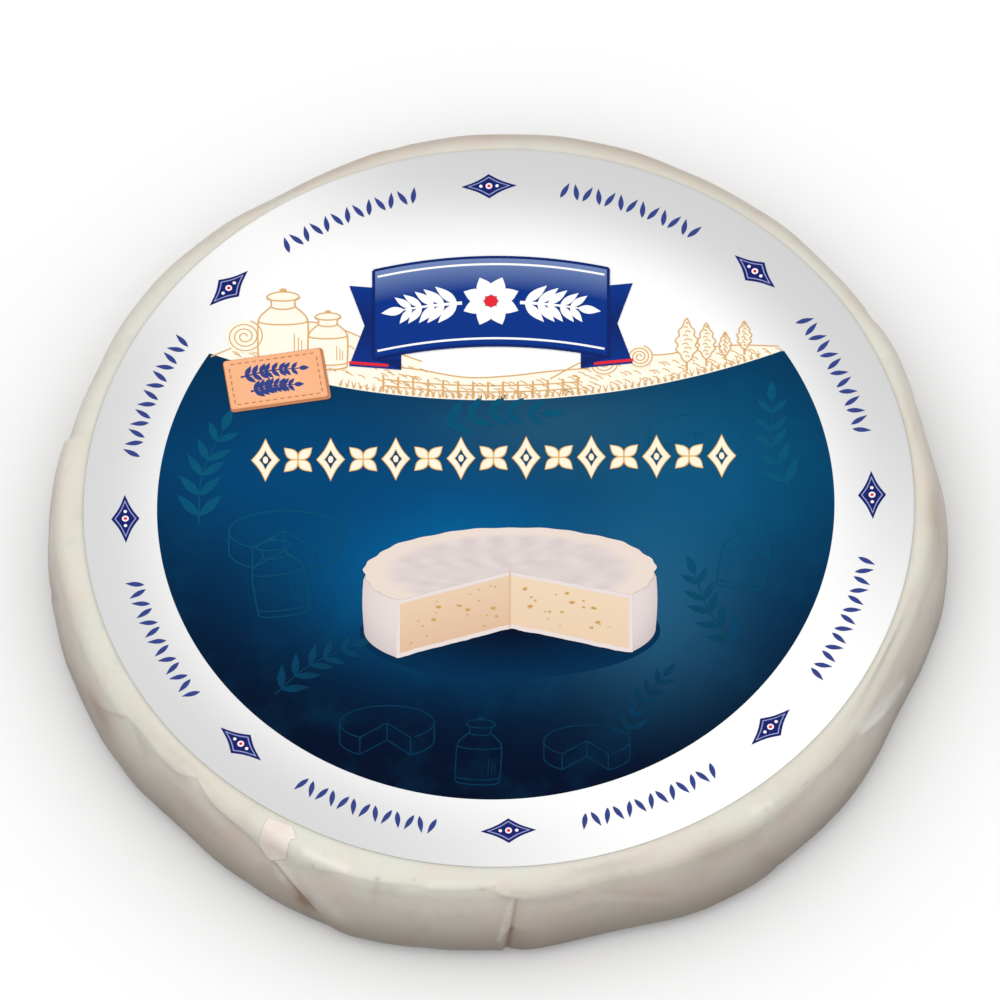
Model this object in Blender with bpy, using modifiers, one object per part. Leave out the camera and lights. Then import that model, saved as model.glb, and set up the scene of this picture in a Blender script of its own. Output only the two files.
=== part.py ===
"""A shut wheel of soft white cheese in its folded paper wrap, with a round paper label on its top.

Metres, +Z up. The wheel stands on its flat base, and the label reads upright along +Y.
"""

from math import cos, pi, radians, sin

import bpy
import numpy as np

MM = 0.001

# The wheel, before its swells
WHEEL_HEIGHT = 30 * MM
WHEEL_RADIUS = 104.6 * MM
BASE_CORNER = 6.5 * MM
SHOULDER_CORNER = 5 * MM
SHOULDER_FALL = radians(17)
SHOULDER_RUN = 2.4 * MM
LEAN_OUT_LOW = radians(4)
LEAN_IN_HIGH = radians(13)

# The label
LABEL_RADIUS = 97 * MM
LABEL_THICKNESS = 0.4 * MM
PAPER_GAP = 0.3 * MM

# Relief fades to nothing between these radii, on the top and on the base
TOP_RELIEF_FROM = 97.6 * MM
TOP_RELIEF_FULL = 101.5 * MM
BASE_RELIEF_FROM = 88 * MM
BASE_RELIEF_FULL = 99 * MM

# Each swell or dent of the outline: degrees round from +X, its spread in degrees, and how far out it stands
SWELLS = (
    (14, 7, -1.2 * MM),
    (38, 9, -0.5 * MM),
    (85, 22, 1.4 * MM),
    (120, 7, -0.7 * MM),
    (142, 9, 0.7 * MM),
    (157, 6, -0.3 * MM),
    (186, 14, 0.7 * MM),
    (223, 8, -1.4 * MM),
    (252, 9, 1.6 * MM),
    (284, 7, -1.5 * MM),
    (302, 8, 1.1 * MM),
    (336, 11, -2.3 * MM),
    (357, 6, 0.3 * MM),
)

# Where the wrap's shoulder sags or stands: degrees, spread in degrees, and how far it lies lower
SHOULDER_SAGS = (
    (57, 10, 0.5 * MM),
    (118, 8, 0.6 * MM),
    (208, 12, 0.6 * MM),
    (241, 8, -0.5 * MM),
    (285, 9, 0.7 * MM),
    (330, 12, 0.6 * MM),
)

# The wrap's free end, which lies over its start: it stands proud and sinks back over a stretch
OVERLAP_ANGLE = radians(168.5)
OVERLAP_STEP = 1.2 * MM
OVERLAP_EDGE = radians(1.2)
OVERLAP_STRETCH = radians(26)

# Pinched folds down the side: degrees at the top, slant in degrees over the height, width in degrees, depth
FOLDS = (
    (272, 1.3, 3.0, 0.6 * MM),
    (238.5, -10, 3.4, 0.5 * MM),
    (31, -2.0, 3.0, 0.5 * MM),
    (104, 1.5, 3.0, 0.6 * MM),
    (212, -3.0, 3.0, 0.4 * MM),
    (318, 2.0, 3.0, 0.4 * MM),
)

# The folds pressed under the lower edge
PLEATS = 34
PLEAT_DEPTH = 0.5 * MM
PLEAT_DRIFT = radians(9)

# Resolution
STEPS_ROUND = 168
ARC_STEPS = 5
SIDE_STEPS = 6

WRAP_COLOUR = (0.80, 0.77, 0.69, 1)
LABEL_COLOUR = (0.86, 0.87, 0.88, 1)


def smooth(value):
    """A soft step from 0 to 1 as the value goes from 0 to 1."""
    kept = np.clip(value, 0, 1)
    return kept * kept * (3 - 2 * kept)


def turned(angle):
    """The angle brought between -pi and pi."""
    return (angle + pi) % (2 * pi) - pi


def bell(angle, centre, spread):
    """A bell curve round the wheel, 1 at its centre."""
    return np.exp(-((turned(angle - centre) / spread) ** 2))


def arc(centre, radius, first, last, steps):
    """Points of an arc in the profile's plane, by the direction that it faces, from first to last."""
    faced = np.linspace(first, last, steps + 1)
    return [(centre[0] + radius * cos(a), centre[1] + radius * sin(a)) for a in faced]


def wheel_profile():
    """The outline from the middle of the top, out, down the side and in along the base.

    Three arcs follow each other without a kink: the shoulder, the slack side and the lower edge. The side's
    radius is the one that makes them as high as the wheel.
    """
    shoulder_faces = pi / 2 - SHOULDER_FALL
    rise = WHEEL_HEIGHT - SHOULDER_RUN * sin(SHOULDER_FALL)
    rise += SHOULDER_CORNER * (sin(LEAN_IN_HIGH) - sin(shoulder_faces))
    rise -= BASE_CORNER * (1 - sin(LEAN_OUT_LOW))
    side = rise / (sin(LEAN_OUT_LOW) + sin(LEAN_IN_HIGH))
    base_lift = BASE_CORNER + (side - BASE_CORNER) * sin(LEAN_OUT_LOW)
    side_centre = (WHEEL_RADIUS - side, base_lift)
    base_centre = (side_centre[0] + (side - BASE_CORNER) * cos(LEAN_OUT_LOW), BASE_CORNER)
    inset = side - SHOULDER_CORNER
    shoulder_centre = (side_centre[0] + inset * cos(LEAN_IN_HIGH), side_centre[1] + inset * sin(LEAN_IN_HIGH))
    shoulder = arc(shoulder_centre, SHOULDER_CORNER, shoulder_faces, LEAN_IN_HIGH, ARC_STEPS)
    flat_radius = shoulder[0][0] - SHOULDER_RUN * cos(SHOULDER_FALL)
    points = [(radius, WHEEL_HEIGHT) for radius in (0, 0.5 * flat_radius, 0.85 * flat_radius, flat_radius)]
    points += shoulder
    points += arc(side_centre, side, LEAN_IN_HIGH, -LEAN_OUT_LOW, SIDE_STEPS)[1:]
    points += arc(base_centre, BASE_CORNER, -LEAN_OUT_LOW, -pi / 2, ARC_STEPS)[1:]
    points += [(radius, 0) for radius in (0.5 * (base_centre[0] + BASE_RELIEF_FROM), BASE_RELIEF_FROM, 0)]
    return points


def outline_swell(angle):
    """How far the wrap stands out all down the side at an angle: its swells, and the step of its free end."""
    out = sum(height * bell(angle, radians(at), radians(spread)) for at, spread, height in SWELLS)
    past = (angle - OVERLAP_ANGLE) % (2 * pi)
    climb = smooth(past / OVERLAP_EDGE) * (1 - smooth((past - OVERLAP_EDGE) / OVERLAP_STRETCH))
    return out + OVERLAP_STEP * climb


def fold_depth(angle, down):
    """How deep the pinched folds cut at an angle, down going from 0 at the top to 1 at the base."""
    depth = 0
    for at, slant, width, deep in FOLDS:
        depth = depth + deep * bell(angle, radians(at) - radians(slant) * down, radians(width) / 2)
    return depth * smooth(down / 0.2)


def pleat_depth(angle):
    """The uneven folds under the lower edge: a rounded wave whose spacing drifts round the wheel."""
    drifted = angle + PLEAT_DRIFT * np.sin(3 * angle + 0.7) + 0.4 * PLEAT_DRIFT * np.sin(7 * angle)
    return PLEAT_DEPTH * np.sin(PLEATS * drifted / 2) ** 4


def wrapped(points):
    """Moves the turned wheel's points to the slack, folded wrap. The top's seat and the flat base stay level."""
    radius = np.hypot(points[:, 0], points[:, 1])
    height = points[:, 2].copy()
    angle = np.arctan2(points[:, 1], points[:, 0])
    down = 1 - height / WHEEL_HEIGHT
    on_base = height < 0.5 * BASE_CORNER
    from_radius = np.where(on_base, BASE_RELIEF_FROM, TOP_RELIEF_FROM)
    full_radius = np.where(on_base, BASE_RELIEF_FULL, TOP_RELIEF_FULL)
    shown = smooth((radius - from_radius) / (full_radius - from_radius))
    low_edge = smooth((down - 0.7) / 0.2)
    out = outline_swell(angle) - fold_depth(angle, down) - pleat_depth(angle) * low_edge
    sag = sum(drop * bell(angle, radians(at), radians(spread)) for at, spread, drop in SHOULDER_SAGS)
    scale = 1 + shown * out / np.maximum(radius, MM)
    points[:, 0] *= scale
    points[:, 1] *= scale
    points[:, 2] = height - sag * shown * smooth(1 - down / 0.35)
    return points


def principled(name, colour, roughness):
    """A plain material with the colour and gloss of the part."""
    material = bpy.data.materials.new(name)
    material.use_nodes = True
    shader = material.node_tree.nodes["Principled BSDF"]
    shader.inputs["Base Color"].default_value = colour
    shader.inputs["Roughness"].default_value = roughness
    shader.inputs["Metallic"].default_value = 0
    return material


def turned_object(name, profile, collection):
    """A solid of revolution about Z: the profile, from top to bottom, under a Screw modifier."""
    mesh = bpy.data.meshes.new(name)
    edges = [(i, i + 1) for i in range(len(profile) - 1)]
    mesh.from_pydata([(radius, 0, height) for radius, height in profile], edges, [])
    piece = bpy.data.objects.new(name, mesh)
    collection.objects.link(piece)
    screw = piece.modifiers.new("turn", "SCREW")
    screw.axis = "Z"
    screw.steps = STEPS_ROUND
    screw.render_steps = STEPS_ROUND
    screw.use_merge_vertices = True
    screw.merge_threshold = 0.1 * MM
    screw.use_smooth_shade = True
    return piece


def make_wheel(collection):
    """The cheese in its wrap, one solid: a turned wheel whose points then take the wrap's swells and folds."""
    wheel = turned_object("wrapped_wheel", wheel_profile(), collection)
    graph = bpy.context.evaluated_depsgraph_get()
    mesh = bpy.data.meshes.new_from_object(wheel.evaluated_get(graph))
    wheel.modifiers.clear()
    bare = wheel.data
    wheel.data = mesh
    bpy.data.meshes.remove(bare)
    mesh.name = wheel.name
    points = np.empty(3 * len(mesh.vertices), np.float32)
    mesh.vertices.foreach_get("co", points)
    moved = wrapped(points.reshape(-1, 3).astype(float))
    mesh.vertices.foreach_set("co", moved.astype(np.float32).ravel())
    mesh.set_sharp_from_angle(angle=radians(40))
    mesh.materials.clear()
    mesh.materials.append(principled("wrap_paper", WRAP_COLOUR, 0.45))
    return wheel


def make_label(collection):
    """The round label: a thin turned disc, a paper gap above the wheel's seat."""
    profile = [(0, LABEL_THICKNESS), (LABEL_RADIUS, LABEL_THICKNESS), (LABEL_RADIUS, 0), (0, 0)]
    label = turned_object("top_label", profile, collection)
    label.location.z = WHEEL_HEIGHT + PAPER_GAP
    label.data.materials.append(principled("label_paper", LABEL_COLOUR, 0.4))
    return label


def outline_middle(mesh):
    """The middle of the wheel's box, seen from above."""
    points = np.empty(3 * len(mesh.vertices), np.float32)
    mesh.vertices.foreach_get("co", points)
    seen = points.reshape(-1, 3)[:, :2]
    return (seen.min(axis=0) + seen.max(axis=0)) / 2


def main():
    for old in list(bpy.data.objects):
        bpy.data.objects.remove(old)
    collection = bpy.data.collections.new("cheese_wheel")
    bpy.context.scene.collection.children.link(collection)
    axis = bpy.data.objects.new("wheel_axis", None)
    collection.objects.link(axis)
    wheel = make_wheel(collection)
    label = make_label(collection)
    wheel.parent = axis
    label.parent = axis
    middle = outline_middle(wheel.data)
    axis.location = (-middle[0], -middle[1], 0)


main()
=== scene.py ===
"""The looks of a shut wheel of soft white cheese: its creased paper wrap and its round printed label.

Everything is in metres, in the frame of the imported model. The print is drawn in its own plane, in
millimetres from the label's middle, with x to the right of the print and y to its top.
"""

import bpy
import numpy as np
from mathutils import Matrix, Vector


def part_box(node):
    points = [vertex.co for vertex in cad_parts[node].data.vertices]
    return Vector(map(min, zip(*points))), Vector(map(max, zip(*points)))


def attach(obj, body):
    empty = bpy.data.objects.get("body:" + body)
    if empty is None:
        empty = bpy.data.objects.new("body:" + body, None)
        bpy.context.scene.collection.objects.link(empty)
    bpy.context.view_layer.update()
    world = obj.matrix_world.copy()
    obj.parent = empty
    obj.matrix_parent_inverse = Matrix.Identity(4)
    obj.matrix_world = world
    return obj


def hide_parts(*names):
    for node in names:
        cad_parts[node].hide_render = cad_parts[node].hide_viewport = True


bl_info = {
    "name": "Wrapped cheese wheel",
    "version": (1, 0, 0),
    "blender": (4, 5, 0),
    "location": "View3D > Sidebar > Cheese wheel",
    "description": "Dresses the packed cheese wheel in its creased wrap and printed label, on a stage",
    "category": "Object",
}

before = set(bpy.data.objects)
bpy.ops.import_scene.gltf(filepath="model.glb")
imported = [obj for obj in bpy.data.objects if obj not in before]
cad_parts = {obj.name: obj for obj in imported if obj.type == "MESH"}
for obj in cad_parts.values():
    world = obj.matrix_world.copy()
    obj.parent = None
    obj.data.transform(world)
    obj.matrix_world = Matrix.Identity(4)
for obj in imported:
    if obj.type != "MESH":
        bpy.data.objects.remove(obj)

MM = 0.001
TURN = 2 * np.pi
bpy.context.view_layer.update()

# Places and sizes that come from the frame
LABEL_LOW, LABEL_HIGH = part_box("top_label")
AXIS = np.array([(LABEL_LOW.x + LABEL_HIGH.x) / 2, (LABEL_LOW.y + LABEL_HIGH.y) / 2])
LABEL_RADIUS = (LABEL_HIGH.x - LABEL_LOW.x) / 2
LABEL_TOP = LABEL_HIGH.z
WHEEL_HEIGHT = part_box("wrapped_wheel")[1].z

# The wheel's section, as the solid has it
WHEEL_RADIUS = 104.6 * MM
BASE_CORNER = 6.5 * MM
SHOULDER_CORNER = 5 * MM
SHOULDER_FALL = np.radians(17)
SHOULDER_RUN = 2.4 * MM
LEAN_OUT_LOW = np.radians(4)
LEAN_IN_HIGH = np.radians(13)
TOP_RELIEF = (97.6 * MM, 101.5 * MM)
BASE_RELIEF = (88 * MM, 99 * MM)

# Rows of the wrap's mesh: shares of the way out over the seat, and how many there are down the slope, the
# shoulder, the wall and the lower edge, and in along the base
SEAT_SHARES = np.array([0.4, 0.8, 0.94, 0.97, 0.99])
SLOPE_ROWS = 6
SHOULDER_ROWS = 16
WALL_ROWS = 30
EDGE_ROWS = 14
BASE_ROWS = 19
BASE_INNER = 6 * MM

# The slack outline: degrees round from +X, spread in degrees, how far it stands out in millimetres
SWELLS = (
    (14, 7, -1.2), (38, 9, -0.5), (85, 22, 1.4), (120, 7, -0.7), (142, 9, 0.7), (157, 6, -0.3),
    (186, 14, 0.7), (223, 8, -1.4), (252, 9, 1.6), (284, 7, -1.5), (302, 8, 1.1), (336, 11, -2.3),
    (357, 6, 0.3),
)

# Where the shoulder sags: degrees, spread in degrees, how far it lies lower in millimetres
SHOULDER_SAGS = (
    (57, 10, 0.5), (118, 8, 0.6), (208, 12, 0.6), (241, 8, -0.5), (285, 9, 0.7), (330, 12, 0.6),
)

# The wrap's free end
OVERLAP_ANGLE = np.radians(167.2)
OVERLAP_STEP = 1.2 * MM
OVERLAP_EDGE = np.radians(1.2)
OVERLAP_STRETCH = np.radians(26)

# Folds down the side: degrees at the top, slant in degrees, width in degrees, depth in millimetres
FOLDS = (
    (272, 1.3, 3, 0.6), (238.5, -10, 3.4, 0.5), (31, -2, 3, 0.5), (104, 1.5, 3, 0.6),
)
PLEATS = 34
PLEAT_DEPTH = 0.15 * MM
PLEAT_DRIFT = np.radians(9)


def linear(red, green, blue):
    """The linear colour, as shaders take it, that shows as these 8-bit values."""
    shown = np.array([red, green, blue]) / 255
    low = shown / 12.92
    high = ((shown + 0.055) / 1.055) ** 2.4
    return (*np.where(shown <= 0.04045, low, high).tolist(), 1.0)


# Shader maths


class Value:
    """One output of a shader node. Arithmetic on it adds Math nodes to its finish."""

    def __init__(self, finish, socket):
        self.finish = finish
        self.socket = socket

    def math(self, operation, *given):
        return self.finish.node("ShaderNodeMath", {"operation": operation}, dict(enumerate(given)))

    def __add__(self, other):
        return self.math("ADD", self, other)

    __radd__ = __add__

    def __sub__(self, other):
        return self.math("SUBTRACT", self, other)

    def __rsub__(self, other):
        return self.math("SUBTRACT", other, self)

    def __mul__(self, other):
        return self.math("MULTIPLY", self, other)

    __rmul__ = __mul__

    def __truediv__(self, other):
        return self.math("DIVIDE", self, other)

    def __pow__(self, other):
        return self.math("POWER", self, other)

    def __rpow__(self, other):
        return self.math("POWER", other, self)


class Finish:
    """The nodes of a new material or world, and the one method that adds any node."""

    def __init__(self, made, shader, constants):
        made.use_nodes = True
        self.made = made
        self.tree = made.node_tree
        self.shader = self.tree.nodes[shader]
        for socket, constant in constants.items():
            self.shader.inputs[socket].default_value = constant

    def node(self, kind, settings, inputs, output=0):
        """Adds a node, with its settings first and then its sockets, and gives one output."""
        made = self.tree.nodes.new(kind)
        for setting, choice in settings.items():
            setattr(made, setting, choice)
        for socket, given in inputs.items():
            if isinstance(given, Value):
                self.tree.links.new(given.socket, made.inputs[socket])
            else:
                made.inputs[socket].default_value = given
        return Value(self, made.outputs[output])

    def feed(self, socket, given):
        """Links a varying value to the shader."""
        self.tree.links.new(given.socket, self.shader.inputs[socket])

    def place(self):
        """The point's own place on the piece, in metres."""
        return self.node("ShaderNodeTexCoord", {}, {}, "Object")

    def across(self, axis):
        """How far the point lies from the label's middle along x, 0, or y, 1, in metres."""
        return self.node("ShaderNodeSeparateXYZ", {}, {0: self.place()}, axis) - float(AXIS[axis])

    def noise(self, scale, detail=2.0, roughness=0.5):
        given = {"Vector": self.place(), "Scale": scale, "Detail": detail, "Roughness": roughness}
        return self.node("ShaderNodeTexNoise", {}, given, "Fac")

    def rise(self, value, low, high, start=0.0, end=1.0):
        """A soft step from start to end as the value goes from low to high."""
        given = {"Value": value, "From Min": low, "From Max": high, "To Min": start, "To Max": end}
        return self.node("ShaderNodeMapRange", {"interpolation_type": "SMOOTHSTEP"}, given)

    def mix(self, share, first, second):
        """The first colour, with a share of the second."""
        return self.node("ShaderNodeMix", {"data_type": "RGBA"}, {0: share, 6: first, 7: second}, 2)

    def rough(self, scale, low, high):
        """Feeds a roughness that goes unevenly from low to high."""
        self.feed("Roughness", self.rise(self.noise(scale), 0.3, 0.7, low, high))

    def bump(self, height, distance, strength):
        given = {"Strength": strength, "Distance": distance, "Height": height}
        self.feed("Normal", self.node("ShaderNodeBump", {}, given))

    def attribute(self, name, output="Fac"):
        return self.node("ShaderNodeAttribute", {"attribute_name": name}, {}, output)


def surface(name, constants):
    """The nodes of a new material, with the constants set on its own Principled shader."""
    return Finish(bpy.data.materials.new(name), "Principled BSDF", constants)


# What the label's paper and inks share: their shine, the scale and span of their roughness, and the scale,
# depth and strength of the paper's faint swells
SHINE = {"Specular IOR Level": 0.03}
LABEL_ROUGH = (60, 0.3, 0.38)
SWELL_SCALE = 35
SWELL_BUMP = (0.05 * MM, 0.35)


# Meshes


def grid_faces(rows, columns, closed=False):
    """The four-cornered faces of a grid of points, closed to a ring along its columns if asked."""
    row, column = np.meshgrid(np.arange(rows - 1), np.arange(columns - (not closed)), indexing="ij")
    first = row * columns + column
    second = row * columns + (column + 1) % columns
    return np.stack([first, second, second + columns, first + columns], axis=-1).reshape(-1, 4)


def fan_faces(middle, ring):
    """Triangles from one point to each step of a closed ring of points."""
    return np.stack([np.full(len(ring), middle), ring, np.roll(ring, -1)], axis=1)


def add_object(name, points, blocks, material, attributes=(), rounded=True):
    """An object whose mesh is points and blocks of faces, left where it is.

    Each attribute is a name, a kind, the field that holds it, and its values at the points.
    """
    points = np.asarray(points, np.float32).reshape(-1, 3)
    sizes = np.concatenate([np.full(len(block), block.shape[1]) for block in blocks])
    corners = np.concatenate([block.ravel() for block in blocks]).astype(np.int32)
    mesh = bpy.data.meshes.new(name)
    mesh.vertices.add(len(points))
    mesh.vertices.foreach_set("co", points.ravel())
    mesh.loops.add(len(corners))
    mesh.loops.foreach_set("vertex_index", corners)
    mesh.polygons.add(len(sizes))
    mesh.polygons.foreach_set("loop_start", (np.cumsum(sizes) - sizes).astype(np.int32))
    mesh.polygons.foreach_set("use_smooth", np.full(len(sizes), rounded))
    mesh.update(calc_edges=True)
    if mesh.validate():
        raise RuntimeError(f"{name} has faces that don't fit together")
    for attribute, kind, field, values in attributes:
        held = mesh.attributes.new(attribute, kind, "POINT")
        held.data.foreach_set(field, np.asarray(values, np.float32).ravel())
    mesh.materials.append(material)
    made = bpy.data.objects.new(name, mesh)
    bpy.context.scene.collection.objects.link(made)
    return made


def add_piece(name, points, blocks, material, attributes=(), rounded=True):
    """An object that rides on the wheel, with the given finish."""
    made = add_object(name, points, blocks, material, attributes, rounded)
    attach(made, "root")
    return made


def add_shell(name, points, middles, material, values=()):
    """A closed shell: a grid of points whose columns go round, closed at both ends by a fan to a point.

    Rows go from the middle of the top, out and down, to the middle of the base, so that faces point
    outwards. The values are pairs of a name and a grid of numbers.
    """
    rows, columns = points.shape[:2]
    last = rows * columns
    ring = np.arange(columns)
    blocks = [
        grid_faces(rows, columns, closed=True)[:, ::-1],
        fan_faces(last, ring),
        fan_faces(last + 1, last - columns + ring)[:, ::-1],
    ]
    points = np.concatenate([points.reshape(-1, 3), middles])
    held = [(key, "FLOAT", "value", np.append(grid.ravel(), [0, 0])) for key, grid in values]
    return add_piece(name, points, blocks, material, held)


def add_thickness(piece, thickness):
    """Gives an open sheet its thickness, on the side away from its normals."""
    solid = piece.modifiers.new("thickness", "SOLIDIFY")
    solid.thickness = thickness
    solid.offset = -1


def smooth(value):
    """A soft step from 0 to 1 as the value goes from 0 to 1."""
    kept = np.clip(value, 0, 1)
    return kept * kept * (3 - 2 * kept)


def turned_by(angle, start):
    """The angle from the start, the short way round."""
    return (angle - start + np.pi) % TURN - np.pi


def around(middle, radius, angle, height):
    """Points from their radii and angles round a middle, and their heights."""
    x = middle[0] + radius * np.cos(angle)
    y = middle[1] + radius * np.sin(angle)
    return np.stack([x, y, height], axis=-1)


def lobes(angle, listed):
    """A sum of bell curves of the angle, each by degrees, spread in degrees and height in millimetres."""
    return sum(
        height * MM * np.exp(-((turned_by(angle, np.radians(at)) / np.radians(spread)) ** 2))
        for at, spread, height in listed
    )


# The wrap


def arc_rows(centre, radius, first, last, steps):
    """Rows of radius, height and outward direction along an arc, by the direction that it faces."""
    faced = np.linspace(first, last, steps + 1)
    outward = np.stack([np.cos(faced), np.sin(faced)], axis=1)
    return np.concatenate([np.asarray(centre) + radius * outward, outward], axis=1)


def level_rows(radii, height, up):
    """Rows along a level stretch, at the given radii."""
    radii = np.asarray(radii, float)
    level = np.zeros_like(radii)
    return np.stack([radii, level + height, level, level + up], axis=1)


def wheel_rows():
    """The wheel's section from the middle of the top to the middle of the base, as the solid's profile.

    The shoulder, the slack side and the lower edge are three arcs without a kink. The side's radius makes
    them as high as the wheel: it is the rise left for it over the sum of the sines of its two leans.
    """
    faces = np.pi / 2 - SHOULDER_FALL
    rise = WHEEL_HEIGHT - SHOULDER_RUN * np.sin(SHOULDER_FALL)
    rise += SHOULDER_CORNER * (np.sin(LEAN_IN_HIGH) - np.sin(faces))
    rise -= BASE_CORNER * (1 - np.sin(LEAN_OUT_LOW))
    side = rise / (np.sin(LEAN_OUT_LOW) + np.sin(LEAN_IN_HIGH))
    lift = BASE_CORNER + (side - BASE_CORNER) * np.sin(LEAN_OUT_LOW)
    side_centre = np.array([WHEEL_RADIUS - side, lift])
    base_centre = np.array([side_centre[0] + (side - BASE_CORNER) * np.cos(LEAN_OUT_LOW), BASE_CORNER])
    lean = np.array([np.cos(LEAN_IN_HIGH), np.sin(LEAN_IN_HIGH)])
    shoulder_centre = side_centre + (side - SHOULDER_CORNER) * lean
    shoulder = arc_rows(shoulder_centre, SHOULDER_CORNER, faces, LEAN_IN_HIGH, SHOULDER_ROWS)
    seat = shoulder[0, 0] - SHOULDER_RUN * np.cos(SHOULDER_FALL)
    slope_start = np.array([seat, WHEEL_HEIGHT, np.cos(faces), np.sin(faces)])
    slope = slope_start + np.linspace(0, 1, SLOPE_ROWS + 1)[:-1, None] * (shoulder[0] - slope_start)
    top = level_rows(seat * SEAT_SHARES, WHEEL_HEIGHT, 1)
    wall = arc_rows(side_centre, side, LEAN_IN_HIGH, -LEAN_OUT_LOW, WALL_ROWS)[1:]
    edge = arc_rows(base_centre, BASE_CORNER, -LEAN_OUT_LOW, -np.pi / 2, EDGE_ROWS)[1:]
    base = level_rows(np.linspace(base_centre[0], BASE_INNER, BASE_ROWS + 1)[1:], 0, -1)
    return np.concatenate([top, slope, shoulder, wall, edge, base])


def way_down(rows):
    """How far each row lies along the section past the label's edge, in metres."""
    steps = np.hypot(np.diff(rows[:, 0], prepend=0), np.diff(rows[:, 1], prepend=WHEEL_HEIGHT))
    return np.cumsum(steps) - LABEL_RADIUS


# Creases of the wrap, as straight lines on the unrolled side: degrees round and millimetres down the
# section past the label's edge at both ends, the width and depth of the dip and the height of the lip in
# millimetres, and how dark the crease is painted, partly staining and partly painted shade. The lip stands
# on the side of the greater angle if it is above 0.
CREASES = (
    (272.3, 8.6, 271.4, 21, 0.45, 0.45, -0.4, 0.35), (271.5, 19, 270.6, 33, 0.8, 0.5, -0.45, 0.95),
    (239.3, 12.5, 246.4, 25, 0.9, 0.5, 0.45, 0.7), (212.2, 5.2, 217, 12, 1.5, 0.2, -0.1, 0.1),
    (326, 8.4, 335.5, 18, 1, 0.05, -0.5, 0), (304, 15, 309, 32, 1.4, 0.2, 0.1, 0.1),
    (283, 11, 292, 18, 1.5, 0.15, -0.1, 0.1), (190, 14, 183, 29, 1.5, 0.25, 0.1, 0.2),
    (17, 9, 26, 26, 1.4, 0.35, 0.15, 0.2), (33, 10, 29.5, 32, 0.9, 0.45, 0.3, 0.5),
    (52, 11, 61, 30, 1.3, 0.3, -0.15, 0.2), (72, 12, 69, 25, 1.4, 0.25, 0.1, 0.2),
    (88, 12, 99, 28, 1.6, 0.35, 0.1, 0.2), (104.6, 11, 103, 33, 0.6, 0.5, -0.4, 0.8),
    (122, 12, 114, 26, 1.3, 0.3, 0.15, 0.2), (133, 11, 141, 31, 1.5, 0.3, -0.1, 0.2),
    (153, 10, 148, 24, 1.2, 0.25, 0.1, 0.2),
)

# The line where the shoulder breaks into the wall: degrees, millimetres down the section past the label's
# edge, and how far the paper falls behind it in millimetres
BREAKS = (
    (166, 8, 0), (169, 7, 0.2), (177, 11, 0.25), (184, 14, 0.2), (194, 14, 0.15), (202.5, 19.5, 0.45),
    (205.5, 15.2, 0.55), (208.5, 11, 0.6), (211.5, 5.8, 0.5), (215.2, 5.3, 0.4), (219, 7, 0.35),
    (222.2, 7.4, 0.5), (225.2, 4.4, 0.6), (228.8, 6.5, 0.65), (233.8, 7.4, 0.65), (236.5, 8.8, 0.6),
    (239.3, 12.3, 0.4), (242.5, 9.5, 0.1), (245.2, 7.4, 0.3), (249, 5.3, 0.45), (254, 4.9, 0.5),
    (258.8, 4.2, 0.3), (261, 5.4, 0.45), (269, 4.6, 0.5), (271.5, 7.8, 0.4), (275, 8.6, 0.2),
    (284, 9.6, 0.06), (297, 9.4, 0.05), (304.5, 8.6, 0.05), (309, 4.4, 0.16), (314, 6, 0.08),
    (325.8, 8.5, 0.16), (335.5, 17, 0.14), (341, 7.4, 0.05), (352, 4.2, 0.12), (3, 6.2, 0.15), (12, 9, 0),
    (60, 8, 0.3), (90, 10, 0.2), (130, 9, 0.3), (150, 8, 0.1),
)
BREAK_WIDTH = 1.1 * MM
BREAK_REACH = 7 * MM

# Patches darkened in the crease colour, partly staining and mostly painted shade where the side lies in
# shadow: degrees, millimetres down, their reach round and down in millimetres, and how strong they are
STAINS_AND_SHADE = (
    (244.4, 21.5, 2.4, 3, 0.9), (206.5, 17, 7, 4.5, 0.5), (254, 7.5, 1, 4.5, 0.16),
    (304.5, 10, 2.2, 2.6, 0.12), (311, 9.6, 5, 2.4, 0.2), (296, 13, 5, 3, 0.12), (357, 6, 18, 5, 0.3),
    (226, 14, 14, 5, 0.22), (88, 2, 88, 9, 0.56), (285, 6.5, 5, 2.5, 0.14), (299, 5.2, 7, 3, 0.2),
    (255, 6.8, 4, 2.2, 0.15), (268, 4, 4, 2, 0.1), (0, 3.9, 6, 2.5, 0.18), (196, 4, 5, 2, 0.1),
    (300, 8, 11, 3.5, 0.22), (253, 13, 9, 3.5, 0.1),
)

# Painted highlights, strokes where the paper is painted paler as if catching the light: degrees and
# millimetres down at both ends of a stroke, its width in millimetres and how strong it is
PAINTED_HIGHLIGHTS = (
    (243.8, 4.6, 249.6, 4.2, 1, 0.7), (261, 4, 269.5, 3.4, 0.9, 0.3), (271, 6.4, 273.2, 7.8, 0.8, 0.5),
    (271.2, 11, 269.8, 24, 0.6, 0.35), (242.2, 11, 248.6, 20, 3.4, 0.42), (325.8, 8, 336.8, 17.5, 1.8, 0.8),
    (306, 3.3, 308.5, 4.2, 0.8, 0.4), (168.8, 8, 170, 26, 1.4, 0.4), (223, 4, 228, 5.2, 0.9, 0.3),
    (103.4, 12, 102, 30, 0.6, 0.5), (312, 12, 330, 12, 4.5, 0.32), (330, 12, 350, 9, 4.5, 0.3),
    (312, 19, 345, 22, 4, 0.16), (219, 8, 230, 9.5, 3.2, 0.26), (239.6, 13, 241, 16, 2.2, 0.35),
)

# Where columns of the mesh crowd, by degrees and half the width in degrees, how much denser they are there,
# and the number of fine steps that they are picked from
SHARP_PLACES = (
    (169, 2), (204, 6), (213, 3), (223, 4), (233, 8), (244, 5), (256, 6), (271.5, 2.2), (327, 4), (104, 2),
)
CROWDING = 2.2
FINE_STEPS = 7200

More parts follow.
